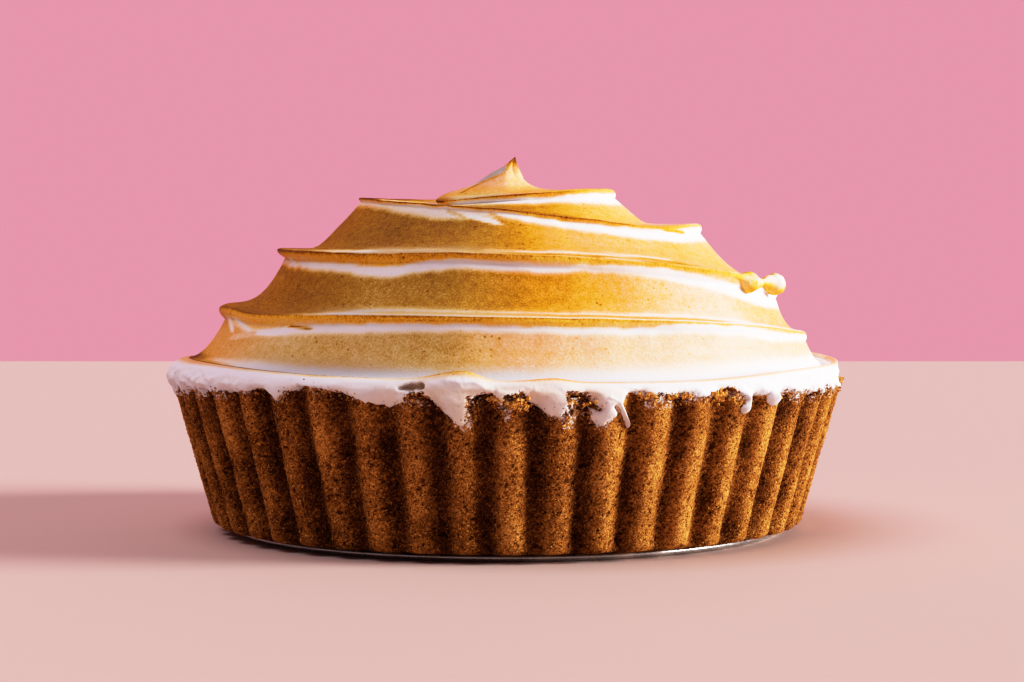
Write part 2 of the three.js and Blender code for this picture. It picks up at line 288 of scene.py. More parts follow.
def make_piece(name, points, faces, slot, node=None, smooth=True, **values):
    """Mesh piece from points in millimetres and faces (n, 3) or (n, 4), with point values."""
    mesh = bpy.data.meshes.new(name)
    points = np.asarray(points, float).reshape(-1, 3)
    faces = np.asarray(faces, np.int32)
    sides = faces.shape[1]
    mesh.vertices.add(len(points))
    mesh.vertices.foreach_set("co", (points * MM).astype(np.float32).ravel())
    mesh.loops.add(faces.size)
    mesh.loops.foreach_set("vertex_index", faces.ravel())
    mesh.polygons.add(len(faces))
    mesh.polygons.foreach_set("loop_start", np.arange(0, faces.size, sides, dtype=np.int32))
    mesh.polygons.foreach_set("use_smooth", np.full(len(faces), smooth))
    mesh.update(calc_edges=True)
    mesh.validate()
    for key, value in values.items():
        layer = mesh.attributes.new(key, "FLOAT", "POINT")
        layer.data.foreach_set("value", np.asarray(value, np.float32).ravel())
    piece = add_object(name, mesh)
    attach(piece, "root")
    if node:
        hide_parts(node)
    return piece


def ring_grid(rows, columns):
    """Quads between rings: rows rings of columns points each, closed round."""
    i = np.arange(rows - 1)[:, None] * columns
    k = np.arange(columns)[None, :]
    n = (k + 1) % columns
    return np.stack([i + k, i + n, i + columns + n, i + columns + k], axis=-1).reshape(-1, 4)


# ---- Crust ----

CRUST_COLUMNS = FLUTES * 23
CRUST_ROWS = 80
FOOT_SHARE = 0.1             # share of the rows that go round the foot
BIG_CRUMB = 2.0
SMALL_CRUMB = 1.0

# Lower edge of the meringue on the wall: azimuth in degrees, height.
BAND_EDGE = np.array([
    [-172, 51.4], [-160, 50.9], [-151, 51.6], [-144, 51.4], [-142, 50.4], [-139, 52.2], [-135, 52.6],
    [-130, 53.6], [-128.4, 50.6], [-127.2, 49.6], [-125.8, 52.8], [-122.5, 54.9], [-119.4, 53.9],
    [-116.3, 52.3], [-113.6, 51.4], [-110.9, 49.2], [-108.6, 48], [-106.4, 49.8], [-105.2, 50.7],
    [-102.6, 51.2], [-100, 46.8], [-98.4, 43.6], [-97.2, 42.3], [-96.2, 44.2], [-94.4, 51.6],
    [-92.3, 50], [-90.9, 46.6], [-89.9, 50.6], [-88.8, 51.6], [-86.7, 49.3], [-84.4, 45.8],
    [-82.7, 44.2], [-81, 45.8], [-79.9, 48.2], [-78.6, 45], [-77.1, 42.4], [-75.8, 43.8], [-74.6, 46.6],
    [-73.4, 52], [-70.6, 52.4], [-69.8, 50.1], [-67.8, 51.1], [-63.5, 49.6], [-61.8, 51.2],
    [-58.4, 50.8], [-56.1, 52.8], [-53.6, 52], [-50.8, 50.2], [-49.5, 51.4], [-47.9, 51.2],
    [-43.4, 51.6], [-41, 50.9], [-33, 49.7], [-27, 51], [-21, 51.5], [-10, 52.2], [2, 51.4], [12, 50.4],
    [24, 49.3], [36, 51.4], [47, 50.2], [58, 52], [64, 51], [71, 47.8], [76, 50.6], [86, 51.2],
    [97, 50.2], [106, 52], [113, 50], [118, 47.6], [122, 51], [134, 51.8], [147, 50.4], [156, 51.4],
    [163, 48.8], [169, 51.2], [180, 51.4], [188, 50.8],
])

# Places where the smear breaks up into crumbs: azimuth, half-width, strength.
BROKEN = np.array([
    [-152, 12, 0.35], [-121, 6, 0.5], [-104, 1.8, 0.8], [-94.8, 2.2, 1], [-89.8, 1.6, 1],
    [-80.6, 2.2, 0.9], [-66, 4.5, 0.6], [-54.5, 2.2, 0.9], [-30, 12, 0.5], [-8, 6, 0.9], [60, 20, 0.4],
    [150, 25, 0.4],
])

# All the drips are turned by this many degrees from their tables.
BAND_TURN = 0.95


def band_edge(degrees):
    """Height of the meringue's lower edge at an azimuth in degrees."""
    around = (np.asarray(degrees, float) - BAND_TURN + 172) % 360 - 172
    return np.interp(around, BAND_EDGE[:, 0], BAND_EDGE[:, 1])


def degrees_past(middle, degrees):
    """Angle from a drip's place in its table to an azimuth, from -180 to 180 degrees."""
    return (degrees - BAND_TURN - middle + 180) % 360 - 180


def broken(degrees):
    """How strongly the smear breaks up at an azimuth."""
    total = np.zeros(np.shape(degrees))
    for middle, half, strength in BROKEN:
        away = degrees_past(middle, degrees) / half
        total = np.maximum(total, strength * ease(1.4 - np.abs(away), 0, 0.8))
    return total


def crest_radius(height):
    """Radius of the flutes' crests at a height."""
    return RIM_RADIUS - WALL_SLOPE * (RIM_HEIGHT - height)


def wall_radius(height):
    """Radius of the flutes' crests, which stop flaring at the rim."""
    height = np.asarray(height, float)
    return np.where(height < RIM_HEIGHT, crest_radius(height), RIM_RADIUS)


def flute_inset(azimuth):
    """How far the wall lies inside the crests, from 0 on a crest to the flutes' depth."""
    part = (azimuth + math.pi / 2 - FLUTE_TURN) * FLUTES
    return FLUTE_DEPTH * ((1 - np.cos(part)) / 2) ** 1.5


def rim_top(azimuth):
    """Height of the crust's uneven top edge, a little over the meringue's lower edge."""
    ring = polar(60, azimuth, 0.0)
    rough = 51.2 + 0.9 * layered(ring, 4.0, 5)
    return np.maximum(rough, band_edge(np.degrees(azimuth)) + 1.2)


def crust_wall(azimuth, along):
    """Radius and height of the wall without its crumb; along runs from foot to top."""
    top = rim_top(azimuth)
    turn = np.clip(along / FOOT_SHARE, 0, 1) * math.pi / 2
    rise = np.clip((along - FOOT_SHARE) / (1 - FOOT_SHARE), 0, 1)
    height = CRUST_BOTTOM + FOOT_ROUND * (1 - np.cos(turn))
    height = height + rise * (top - CRUST_BOTTOM - FOOT_ROUND)
    foot = crest_radius(CRUST_BOTTOM + FOOT_ROUND) - FOOT_ROUND * (1 - np.sin(turn))
    radius = np.where(along < FOOT_SHARE, foot, wall_radius(height))
    depth = 0.35 + 0.65 * ease(along, 0.0, FOOT_SHARE)
    return radius - flute_inset(azimuth) * depth, height


def crumb_relief(points):
    """Relief of packed crumb in millimetres, and each crumb's own value."""
    big, _ = grains(points, BIG_CRUMB, 11)
    small, value = grains(points, SMALL_CRUMB, 21)
    lumps = 0.1 * (0.55 - big)
    crumbs = 0.2 * (0.6 - small)
    pits = -0.5 * ease(noise(points, 0.9, 31), 0.5, 0.8)
    waves = 0.25 * noise(points, 9.0, 33)
    return lumps + crumbs + pits + waves, value


def make_crust():
    """Fluted wall of packed crumb with a rounded foot, a flat strip inward under the foot and a narrow
    one at the top.
    """
    azimuth = circle(CRUST_COLUMNS)[None, :]
    along = np.linspace(0, 1, CRUST_ROWS)[:, None]
    radius, height = crust_wall(azimuth, along)
    points = polar(radius, azimuth, height)
    relief, value = crumb_relief(points)
    points = polar(radius + relief, azimuth, np.maximum(height, CRUST_BOTTOM))
    under = polar(TIN_RADIUS - 12, azimuth, CRUST_BOTTOM)
    inner = points[-1:] * [0.965, 0.965, 1]
    rows = np.concatenate([under, points, inner])
    east = np.cos(azimuth)
    # Painted light: the crumb is drawn lighter towards the right front, where the key light falls, and
    # darker in front left and on the left. Added to the flutes' inset, this value also darkens the
    # flute valleys as painted shade.
    painted_side_light = 0.12 - 0.44 * ease(east, 0.0, 0.38) + 0.22 * ease(east, 0.4, 0.8)
    painted_side_light = painted_side_light + 0.2 * bell(east + 0.29, 0.22) - 0.16 * bell(east - 0.01, 0.08)
    depth = np.broadcast_to(flute_inset(azimuth) / FLUTE_DEPTH + painted_side_light, relief.shape)
    degrees = np.degrees(azimuth)
    near = height - band_edge(degrees) + 1.2 * noise(points, 3.0, 91)
    left = ease(-east, 0.6, 0.85)
    ragged = broken(degrees)
    fleck = ease(near, -3.2 - 2.5 * left - 3.0 * ragged, -0.2)
    fleck = fleck * (0.5 + 0.5 * ease(-depth, -0.8, -0.1)) + 0.25 * ragged * ease(near, -5.0, 0.0)
    values = {"grain": value, "relief": relief, "depth": depth, "fleck": fleck}
    values = {key: np.concatenate([v[:1], v, v[-1:]]) for key, v in values.items()}
    faces = ring_grid(len(rows), CRUST_COLUMNS)
    return make_piece("crust_crumb", rows, faces, "crust", node="crust", **values)


crust = make_crust()


# ---- Loose and stuck crumbs ----

WALL_CRUMBS = 15000
RIM_CRUMBS = 1900
CRUMB_SHAPE = np.array([
    [1, 0, 0], [-1, 0, 0], [0, 1, 0], [0, -1, 0], [0, 0, 1], [0, 0, -1],
], float)
CRUMB_FACES = np.array([
    [0, 2, 4], [2, 1, 4], [1, 3, 4], [3, 0, 4], [2, 0, 5], [1, 2, 5], [3, 1, 5], [0, 3, 5],
])
CORNERS = len(CRUMB_SHAPE)
CRUMB_RELIEF = 0.2


def turned(rng, count):
    """Random rotation matrices (count, 3, 3)."""
    q = rng.normal(size=(count, 4))
    q /= np.linalg.norm(q, axis=1, keepdims=True)
    w, x, y, z = q.T
    rows = [
        [1 - 2 * (y * y + z * z), 2 * (x * y - z * w), 2 * (x * z + y * w)],
        [2 * (x * y + z * w), 1 - 2 * (x * x + z * z), 2 * (y * z - x * w)],
        [2 * (x * z - y * w), 2 * (y * z + x * w), 1 - 2 * (x * x + y * y)],
    ]
    return np.moveaxis(np.array(rows), -1, 0)


def scatter(centres, sizes, rng):
    """Angular crumbs at the centres: points and faces."""
    count = len(centres)
    shape = CRUMB_SHAPE[None] * rng.uniform(0.7, 1.25, (count, CORNERS, 1))
    shape = shape * rng.uniform(0.7, 1.2, (count, 1, 3)) * sizes[:, None, None]
    shape = np.einsum("nij,nkj->nki", turned(rng, count), shape)
    points = shape + centres[:, None, :]
    faces = CRUMB_FACES[None] + CORNERS * np.arange(count)[:, None, None]
    return points.reshape(-1, 3), faces.reshape(-1, 3)


def make_crumbs(name, points, faces, value, depth):
    """Piece of angular crumbs, with a value for each crumb and its depth in the flutes, which the crumb
    material turns into painted shade.
    """
    return make_piece(name, points, faces, "crust", smooth=False,
                      grain=np.repeat(value, CORNERS),
                      relief=np.full(len(points), CRUMB_RELIEF),
                      depth=np.repeat(depth, CORNERS))


def make_wall_crumbs():
    """Fine crumbs that stand out of the wall all over."""
    rng = np.random.default_rng(7)
    azimuth = rng.uniform(0, TAU, WALL_CRUMBS)
    along = rng.uniform(0.02, 1, WALL_CRUMBS)
    radius, height = crust_wall(azimuth, along)
    relief, _ = crumb_relief(polar(radius, azimuth, height))
    sizes = rng.uniform(0.2, 0.42, WALL_CRUMBS)
    centres = polar(radius + relief - 0.1 * sizes, azimuth, height)
    points, faces = scatter(centres, sizes, rng)
    value = rng.uniform(0, 1, WALL_CRUMBS)
    return make_crumbs("crust_grains", points, faces, value, flute_inset(azimuth) / FLUTE_DEPTH)


wall_crumbs = make_wall_crumbs()


# ---- Tin base ----

TIN_COLUMNS = 256


def make_tin_base():
    """Thin disc with a rolled edge."""
    roll = TIN_HEIGHT / 2
    angles = np.linspace(-math.pi / 2, math.pi / 2, 9)
    radius = np.concatenate([[20.0, 60.0], TIN_RADIUS - roll + roll * np.cos(angles), [60.0, 20.0]])
    height = np.concatenate([[0.0, 0.0], roll + roll * np.sin(angles), [TIN_HEIGHT] * 2])
    points = polar(radius[:, None], circle(TIN_COLUMNS), height[:, None])
    faces = ring_grid(len(radius), TIN_COLUMNS)
    return make_piece("tin_base_disc", points, faces, "tin", node="tin_base")


tin = make_tin_base()


# ---- Meringue swirl ----

TURN_COLUMNS = 520
CROWDING = 0.35              # how far the columns crowd together towards the front
FRONT = 0.25                 # turn that faces the front
HOLLOW_PARTS = np.concatenate([
    np.linspace(0, 0.06, 5)[:-1],
    np.linspace(0.06, 0.7, 10)[:-1],
    np.linspace(0.7, 1, 15),
])
LIP_PARTS = np.array([0.14, 0.3, 0.46, 0.62, 0.77, 0.9])
TIP_LOOKS = {"toast": 1.0, "amber": 0.5, "honey": 0.0, "painted_shade": 0.0}


def rim_lip(turn):
    """Height of the band's top edge at a turn."""
    return through(RIM_LIP, turn - np.floor(turn))[0]


def lip_radius(turn):
    """Radius of the band's top edge, which leans outwards on the right."""
    return LIP_RADIUS + LIP_SHIFT * np.cos(TAU * turn)


def tongue(turn):
    """Rise of the two small mounds that lap over the foot of the swirl."""
    rise = 0
    for height, middle, left, right in MOUNDS:
        away = turn - np.floor(turn) - middle
        rise = rise + height * bell(away, np.where(away > 0, left, right))
    return rise


def ridge(turn):
    """Radius and height of the ridge's edge, with its small unevenness."""
    radius, height = through(RIDGE, turn)
    around = polar(30, -TAU * turn, 9.0 * turn)
    calm = plateau(turn, SWIRL_START, 0, SWIRL_END - 1, SWIRL_END - 0.75)
    radius = radius + calm * (0.7 * noise(around, 9.0, 41) + 0.25 * noise(around, 2.2, 42))
    height = height + calm * (0.3 * noise(around, 7.0, 43) + 0.12 * noise(around, 1.8, 44))
    return radius, height


def climb(part, power, corner, straight):
    """Rise of a hollow, 0 to 1: a curve, or a shelf with a straight slope behind it."""
    def hinge(u):
        return np.sqrt((u - corner) ** 2 + CORNER_ROUND ** 2) + u - corner
    curve = part ** power
    slope = (hinge(part) - hinge(0)) / (hinge(1) - hinge(0))
    return toward(curve, slope, straight)


def edge_below(turn):
    """Edge that the hollow at this turn starts from: the rim, then the turn below."""
    first = turn < SWIRL_START + 1
    radius, height = ridge(turn - 1)
    return np.where(first, lip_radius(turn), radius), np.where(first, rim_lip(turn), height)


def swirl_turns():
    """Turn of each column of the swirl, closer together in front, alike in every turn."""
    last = SWIRL_END + 1
    even = np.arange(int((last - SWIRL_START) * TURN_COLUMNS)) / TURN_COLUMNS
    crowd = np.sin(TAU * (even + SWIRL_START - FRONT)) - math.sin(TAU * (SWIRL_START - FRONT))
    turn = SWIRL_START + even - CROWDING * crowd / TAU
    return np.append(turn[turn < last], last)


def swirl_shape(turn):
    """Points of each column, their depths under its ridge and heights over the edge below."""
    outer, low = edge_below(turn)
    inner, high = ridge(turn)
    overhang, thick, _ = through(LIP, turn)
    crown = through(LIP, turn - 1)[2]
    power = through(STEEPNESS, turn)[0]
    tip = through(TIP_SHARE, turn)[0]
    corner, straight = through(SHELF, turn)

    share = HOLLOW_PARTS[None, :]
    rise = (1 - tip) * climb(share, power, corner, straight) + tip * share ** TIP_POWER
    hollow_r = outer - (outer - inner + overhang) * share
    inward = outer - hollow_r
    bead = crown * (1 - np.exp(-inward / (0.35 + crown))) * np.exp(-inward / (4 + 2 * crown))
    groove = 2.6 * ease(np.cos(TAU * turn + 0.1), 0.6, 0.92) * (turn < SWIRL_START + 1)
    hollow_z = low + (high - thick - low) * rise + bead - groove * bell(inward - 4.2, 2.2)

    lip = LIP_PARTS[None, :]
    lip_r = inner - overhang + overhang * np.sin(lip * math.pi / 2) ** 1.3
    lip_r = lip_r + 0.12 * thick * np.sin(lip * math.pi)
    lip_z = high - thick * (1 - lip)

    radius = np.maximum(np.concatenate([hollow_r, lip_r], axis=1), 0)
    height = np.concatenate([hollow_z, lip_z], axis=1)
    points = polar(radius, -TAU * turn, height)
    points[..., 0] += through(LEAN, points[..., 2])[0]

    soft = 0.35 * noise(points, 14.0, 51) + 0.1 * noise(points, 4.0, 52)
    inside = np.sin(math.pi * np.clip((hollow_z - low) / np.maximum(high - low, 1), 0, 1))
    inside = np.concatenate([inside, np.zeros_like(lip_r)], axis=1)
    away = points * [1, 1, 0]
    away /= np.maximum(np.linalg.norm(away, axis=-1, keepdims=True), 1)
    points = points + away * (soft * inside)[..., None]

    x, y, z = np.moveaxis(points, -1, 0)
    swell = np.exp(-((x + 5.8) / 4.2) ** 2 - (y / 4.5) ** 2) * ease(turn, PEAK_START, 3.5)
    points[..., 2] = z + 1.6 * swell * ease(z, 120.0, 123.0)
    return points, high - height, height - low


def swirl_looks(turn, below, above, points):
    """Values of the swirl's points: toast, amber, honey and the painted shade that greys the white."""
    x, _, z = np.moveaxis(points, -1, 0)
    peak = turn > PEAK_START
    # Painted light: the amber share follows the side of the pie that the key light falls on; it is
    # lower before turn 0.3 and fixed on the peak.
    glow = amber(points) * (1 - 0.28 * (1 - ease(turn, 0.3, 0.45)))
    glow = toward(glow, 0.8, ease(z, 119.0, 122.0) * peak)
    # Painted shade: the white is greyed at the foot of the first hollow, on the shelf behind the ridge
    # in the second and third turns, and on the side of the peak past its fold.
    foot = (1 - ease(above, 1.5, 6.5)) * (turn < SWIRL_START + 1)
    painted_shade = 0.9 * foot * plateau(turn, 0.14, 0.31, 0.32, 0.43)
    part = turn - np.floor(turn)
    shelf = (1 - ease(above, 1.0, 3.2)) * plateau(part, 0.22, 0.3, 0.335, 0.37)
    painted_shade = painted_shade + 0.8 * shelf * (turn > 1) * (turn < 3)
    painted_shade = painted_shade + 0.9 * past_fold(points) * (1 - ease(-x, 9.0, 14.0)) * peak
    toast = toasting(turn, below, above, points)
    return {"toast": toast, "amber": glow, "honey": honey(turn, below, points), "painted_shade": painted_shade}


def make_swirl():
    """Dome with its spiral ridge, as one grid that climbs turn by turn to the tip."""
    turn = swirl_turns()[:, None]
    points, below, above = swirl_shape(turn)
    looks = swirl_looks(np.broadcast_to(turn, below.shape), below, above, points)
    columns, rows = below.shape
    index = np.arange(columns * rows).reshape(columns, rows)
    top = np.full((columns, 1), index.size)
    top[:columns - TURN_COLUMNS, 0] = index[TURN_COLUMNS:, 0]
    index = np.concatenate([index, top], axis=1)
    faces = np.stack([index[1:, :-1], index[:-1, :-1], index[:-1, 1:], index[1:, 1:]], axis=-1)
    points = np.concatenate([points.reshape(-1, 3), [[LEAN[-1, 1], 0, PEAK_HEIGHT]]])
    looks = {key: np.append(value, TIP_LOOKS[key]) for key, value in looks.items()}
    return make_piece("meringue_swirl", points, faces.reshape(-1, 4), "meringue",
                      node="meringue", **looks)


# Looks of each hollow and of the lip above it: turn, brownness of the hollow, brownness of
# the lip, depths under the edge where the sheltered white starts and ends, height of the
# pale foot, darkness of the line along the edge.
BROWNING = np.array([
    [-0.45, 0.45, 0.46, 0.4, 1, 0.5, 0.2], [-0.25, 0.42, 0.46, 1.2, 3, 2, 0.2],
    [-0.05, 0.28, 0.42, 1.2, 3, 3, 0.1], [0.03, 0.26, 0.37, 0.9, 2.2, 3, 0.1],
    [0.07, 0.28, 0.36, 1.6, 3.2, 3.2, 0.1], [0.1, 0.27, 0.36, 1.3, 3.8, 3.8, 0.1],
    [0.12, 0.25, 0.37, 0.9, 3.2, 4.2, 0.1], [0.15, 0.25, 0.41, 0.9, 3, 4.6, 0.1],
    [0.18, 0.27, 0.46, 2, 3.7, 4.6, 0.12], [0.2, 0.28, 0.5, 2.9, 4.2, 4.6, 0.14],
    [0.22, 0.31, 0.51, 2.9, 4.3, 4.4, 0.18], [0.25, 0.41, 0.53, 2.8, 4.2, 3.8, 0.18],
    [0.28, 0.52, 0.57, 2.7, 4.4, 3.4, 0.18], [0.3, 0.5, 0.55, 2.7, 4.8, 3.2, 0.2],
    [0.32, 0.5, 0.52, 2.8, 5.2, 3, 0.2], [0.36, 0.44, 0.45, 3.4, 5.8, 2.8, 0.14],
    [0.38, 0.44, 0.46, 4.4, 6.2, 2.4, 0.1], [0.4, 0.46, 0.45, 5.2, 6, 1.8, 0.06],
    [0.42, 0.49, 0.45, 5, 5, 1.2, 0.06], [0.46, 0.54, 0.52, 3.6, 3.6, 0.6, 0.12],
    [0.6, 0.55, 0.56, 2.4, 3.8, 0.8, 0.3], [0.85, 0.42, 0.48, 1.8, 4.2, 1.2, 0.2],
    [1, 0.32, 0.44, 2, 6.5, 0.8, 0.1], [1.06, 0.38, 0.44, 2.6, 9, 0.8, 0.1],
    [1.1, 0.34, 0.41, 3.6, 7.8, 0.9, 0.15], [1.12, 0.24, 0.42, 3, 6.4, 1.4, 0.2],
    [1.14, 0.27, 0.44, 2.2, 5.4, 1.8, 0.22], [1.16, 0.33, 0.46, 1.6, 4.4, 1.9, 0.22],
    [1.18, 0.41, 0.46, 1.6, 3.6, 1.9, 0.2], [1.2, 0.5, 0.46, 2.4, 4, 1.7, 0.18],
    [1.212, 0.55, 0.44, 2.7, 4.2, 1.6, 0.2], [1.225, 0.6, 0.46, 2.7, 4.8, 1.5, 0.2],
    [1.25, 0.67, 0.54, 2, 4.6, 1.6, 0.24], [1.27, 0.69, 0.56, 2.1, 4.6, 1.7, 0.22],
    [1.3, 0.68, 0.56, 2.7, 5.8, 1.8, 0.2], [1.325, 0.62, 0.56, 4.4, 7.4, 1.5, 0.22],
    [1.345, 0.68, 0.54, 4, 6.4, 0.8, 0.28], [1.37, 0.73, 0.51, 3.8, 5.7, 0.4, 0.34],
    [1.4, 0.77, 0.48, 3.9, 5.6, 0.3, 0.42], [1.43, 0.76, 0.48, 4.2, 4.8, 0.1, 0.36],
    [1.6, 0.74, 0.6, 2.4, 3.6, 0.2, 0.3], [1.85, 0.52, 0.52, 1.8, 4.2, 0.6, 0.2],
    [2, 0.38, 0.32, 1.1, 5.2, 0.6, 0.14], [2.06, 0.4, 0.34, 1.1, 5.4, 0.6, 0.18],
    [2.1, 0.41, 0.41, 1.1, 4.8, 0.6, 0.2], [2.13, 0.41, 0.45, 0.8, 4, 0.6, 0.26],
    [2.153, 0.41, 0.54, 1.2, 3.9, 0.6, 0.3], [2.18, 0.42, 0.57, 1.5, 3.8, 0.4, 0.3],
    [2.2, 0.45, 0.56, 1.7, 3.7, 0.4, 0.3], [2.22, 0.5, 0.51, 1.6, 3.4, 0.6, 0.34],
    [2.24, 0.64, 0.53, 1, 2.6, 0.6, 0.36], [2.264, 0.68, 0.5, 0.8, 2.4, 0.65, 0.38],
    [2.285, 0.73, 0.48, 0.7, 3.4, 1.1, 0.36], [2.31, 0.75, 0.46, 0.8, 4.2, 1.5, 0.38],
    [2.34, 0.76, 0.46, 0.8, 3.4, 1.4, 0.42], [2.38, 0.75, 0.42, 0.7, 2.2, 0.8, 0.34],
    [2.42, 0.74, 0.38, 0.7, 2, 0.6, 0.28], [2.5, 0.74, 0.4, 0.8, 2.2, 0.4, 0.28],
    [2.75, 0.6, 0.46, 1.2, 3.2, 0.4, 0.3], [3.02, 0.39, 0.31, 1.6, 4.8, 0.6, 0.14],
    [3.1, 0.44, 0.37, 1.5, 4.5, 0.2, 0.18], [3.14, 0.5, 0.5, 1.5, 3.8, 0.1, 0.2],
    [3.17, 0.56, 0.55, 2, 3.5, 0.1, 0.26], [3.222, 0.73, 0.56, 1.3, 3.2, 0.1, 0.34],
    [3.28, 0.72, 0.5, 0.8, 2.3, 0.1, 0.4], [3.35, 0.7, 0.44, 0.6, 1.8, 0.1, 0.36],
    [3.46, 0.66, 0.4, 0.8, 1.6, 0.1, 0.08], [3.58, 0.56, 0.34, 1, 1.6, 0.2, 0.1],
    [3.75, 0.34, 0.26, 1, 2, 0.4, 0.04], [4, 0.36, 0.36, 0.5, 0.6, 0.2, 0],
    [4.25, 0.36, 0.36, 0.2, 0.3, 0.2, 0], [4.45, 0.38, 0.36, 0.2, 0.3, 0.2, 0],
    [4.75, 0.4, 0.36, 0.2, 0.3, 0.2, 0], [5.05, 0.4, 0.36, 0.2, 0.3, 0.2, 0],
])

STREAK_SOFT = 0.35           # width of the soft edge of a streak
TURN_LENGTH = TAU * 80       # length along the ridge that counts as one turn

# Streaks of their own toast: toast, half-width, path of (turn, depth under the ridge).
STREAKS = [
    (0.06, 0.75, [(0.453, 2.6), (0.436, 5.4), (0.42, 8)]),
    (0, 0.5, [(0.44, 2.8), (0.412, 4.8), (0.398, 6.3), (0.362, 6)]),
    (0.28, 0.9, [(0.392, 5.6), (0.406, 7.4), (0.426, 9.8)]),
    (0.84, 0.36, [(0.371, 3.6), (0.349, 4.5)]),
    (0, 0.55, [(1.441, 2.5), (1.422, 4.4), (1.411, 6.5)]),
    (0.1, 0.8, [(2.356, 1), (2.32, 2.1), (2.286, 3.7)]),
    (0.06, 0.9, [(2.318, 0.8), (2.296, 1.7), (2.275, 3.4), (2.262, 4.4), (2.248, 5.8)]),
    (0.5, 0.4, [(2.268, 1.2), (2.261, 2.2), (2.249, 4)]),
    (0.4, 0.5, [(2.308, 1.5), (2.295, 2.6), (2.28, 4.4)]),
    (0.62, 0.4, [(2.112, 0.8), (2.088, 1.7), (2.064, 2.8)]),
    (0.6, 0.4, [(1.225, 1), (1.17, 0.4), (1.11, 1.4)]),
]

# Streaks on the shelf behind a ridge: toast, half-width, path of (turn, height over the ridge).
SHELF_STREAKS = [
    (0.66, 0.5, [(2.27, 0.3), (2.23, 0.6), (2.185, 1.2), (2.145, 1.8), (2.1, 1.4)]),
    (0.32, 0.3, [(2.27, 1), (2.235, 1.3)]),
    (0.12, 0.4, [(2.262, 1), (2.23, 1.4), (2.185, 2.2), (2.15, 2.9), (2.115, 2.4)]),
    (0.12, 0.25, [(2.2, 0.5), (2.165, 1.1), (2.12, 0.8)]),
    (0.66, 0.4, [(2.18, 0.2), (2.14, 0.6), (2.095, 0.5)]),
    (0.5, 0.34, [(1.35, 0.6), (1.25, 0.7), (1.18, 0.6), (1.1, 0.7)]),
    (0.54, 0.32, [(2.35, 0.6), (2.3, 0.5), (2.25, 0.5)]),
    (0.82, 0.5, [(3.25, 0.9), (3.21, 1.5), (3.17, 1.5), (3.095, 0.5)]),
]

# Fold that runs from the tip of the peak down to the left: x and height.
PEAK_FOLD = np.array([
    [-16.6, 120.6], [-14.6, 122], [-12.2, 123.4], [-9.8, 124.6], [-6.8, 125.8], [-3.8, 127],
    [-1.2, 128.2], [0.4, 130.6],
])


def eastness(points):
    """Cosine of the points' azimuth: 1 on the right, -1 on the left."""
    x, y, _ = np.moveaxis(points, -1, 0)
    return x / np.maximum(np.hypot(x, y), 0.001)


def amber(points, lip=0.0):
    """How far the browning is amber, 1, rather than tan, 0, by the side of the pie: painted light."""
    # Painted light: orange towards the right, where the key light falls, and tan on the shaded front
    # and left; partly amber again at the far left, halfway at the back, and more amber on the lips.
    east = eastness(points)
    side = ease(east, -0.24, 0.14) + 0.55 * ease(-east, 0.66, 0.92)
    side = toward(side, 0.45, ease(points[..., 1], 0.0, 30.0))
    return toward(side, 1, 0.5 * lip)


def honey(turn, below, points):
    """How far the browning is honey-coloured: on the lips under the ridge's edge, on the side away from
    the key light.
    """
    start = through(BROWNING, turn)[2]
    east = eastness(points)
    # Painted light: the honey colours are a shaded copy of the browning, used only away from the key
    # light and not at the far left.
    side = (1 - ease(east, 0.1, 0.5)) * (1 - ease(-east, 0.9, 0.98))
    return (1 - ease(below, start, start + 1.0)) * side


def path_distance(across, up, path):
    """Distance in the plane from points to a path of (across, up)."""
    nearest = np.full(np.broadcast(across, up).shape, 99.0)
    for (x0, y0), (x1, y1) in zip(path[:-1], path[1:]):
        dx, dy = x1 - x0, y1 - y0
        u = np.clip(((across - x0) * dx + (up - y0) * dy) / (dx * dx + dy * dy), 0, 1)
        nearest = np.minimum(nearest, np.hypot(across - x0 - dx * u, up - y0 - dy * u))
    return nearest


def streaked(toast, turn, depth, streaks, wave):
    """Toast with pointed streaks painted over it."""
    for shade, half, path in streaks:
        first, last = path[0][0], path[-1][0]
        path = [(t * TURN_LENGTH, d) for t, d in path]
        away = path_distance(turn * TURN_LENGTH, depth, path) + 0.05 * wave
        part = (turn - first) / (last - first)
        full = ease(np.minimum(part, 1 - part), 0, 0.2)
        reach = half * full - STREAK_SOFT * (1 - full)
        toast = toward(toast, shade, ease(reach - away, -STREAK_SOFT, 0.7 * STREAK_SOFT))
    return toast


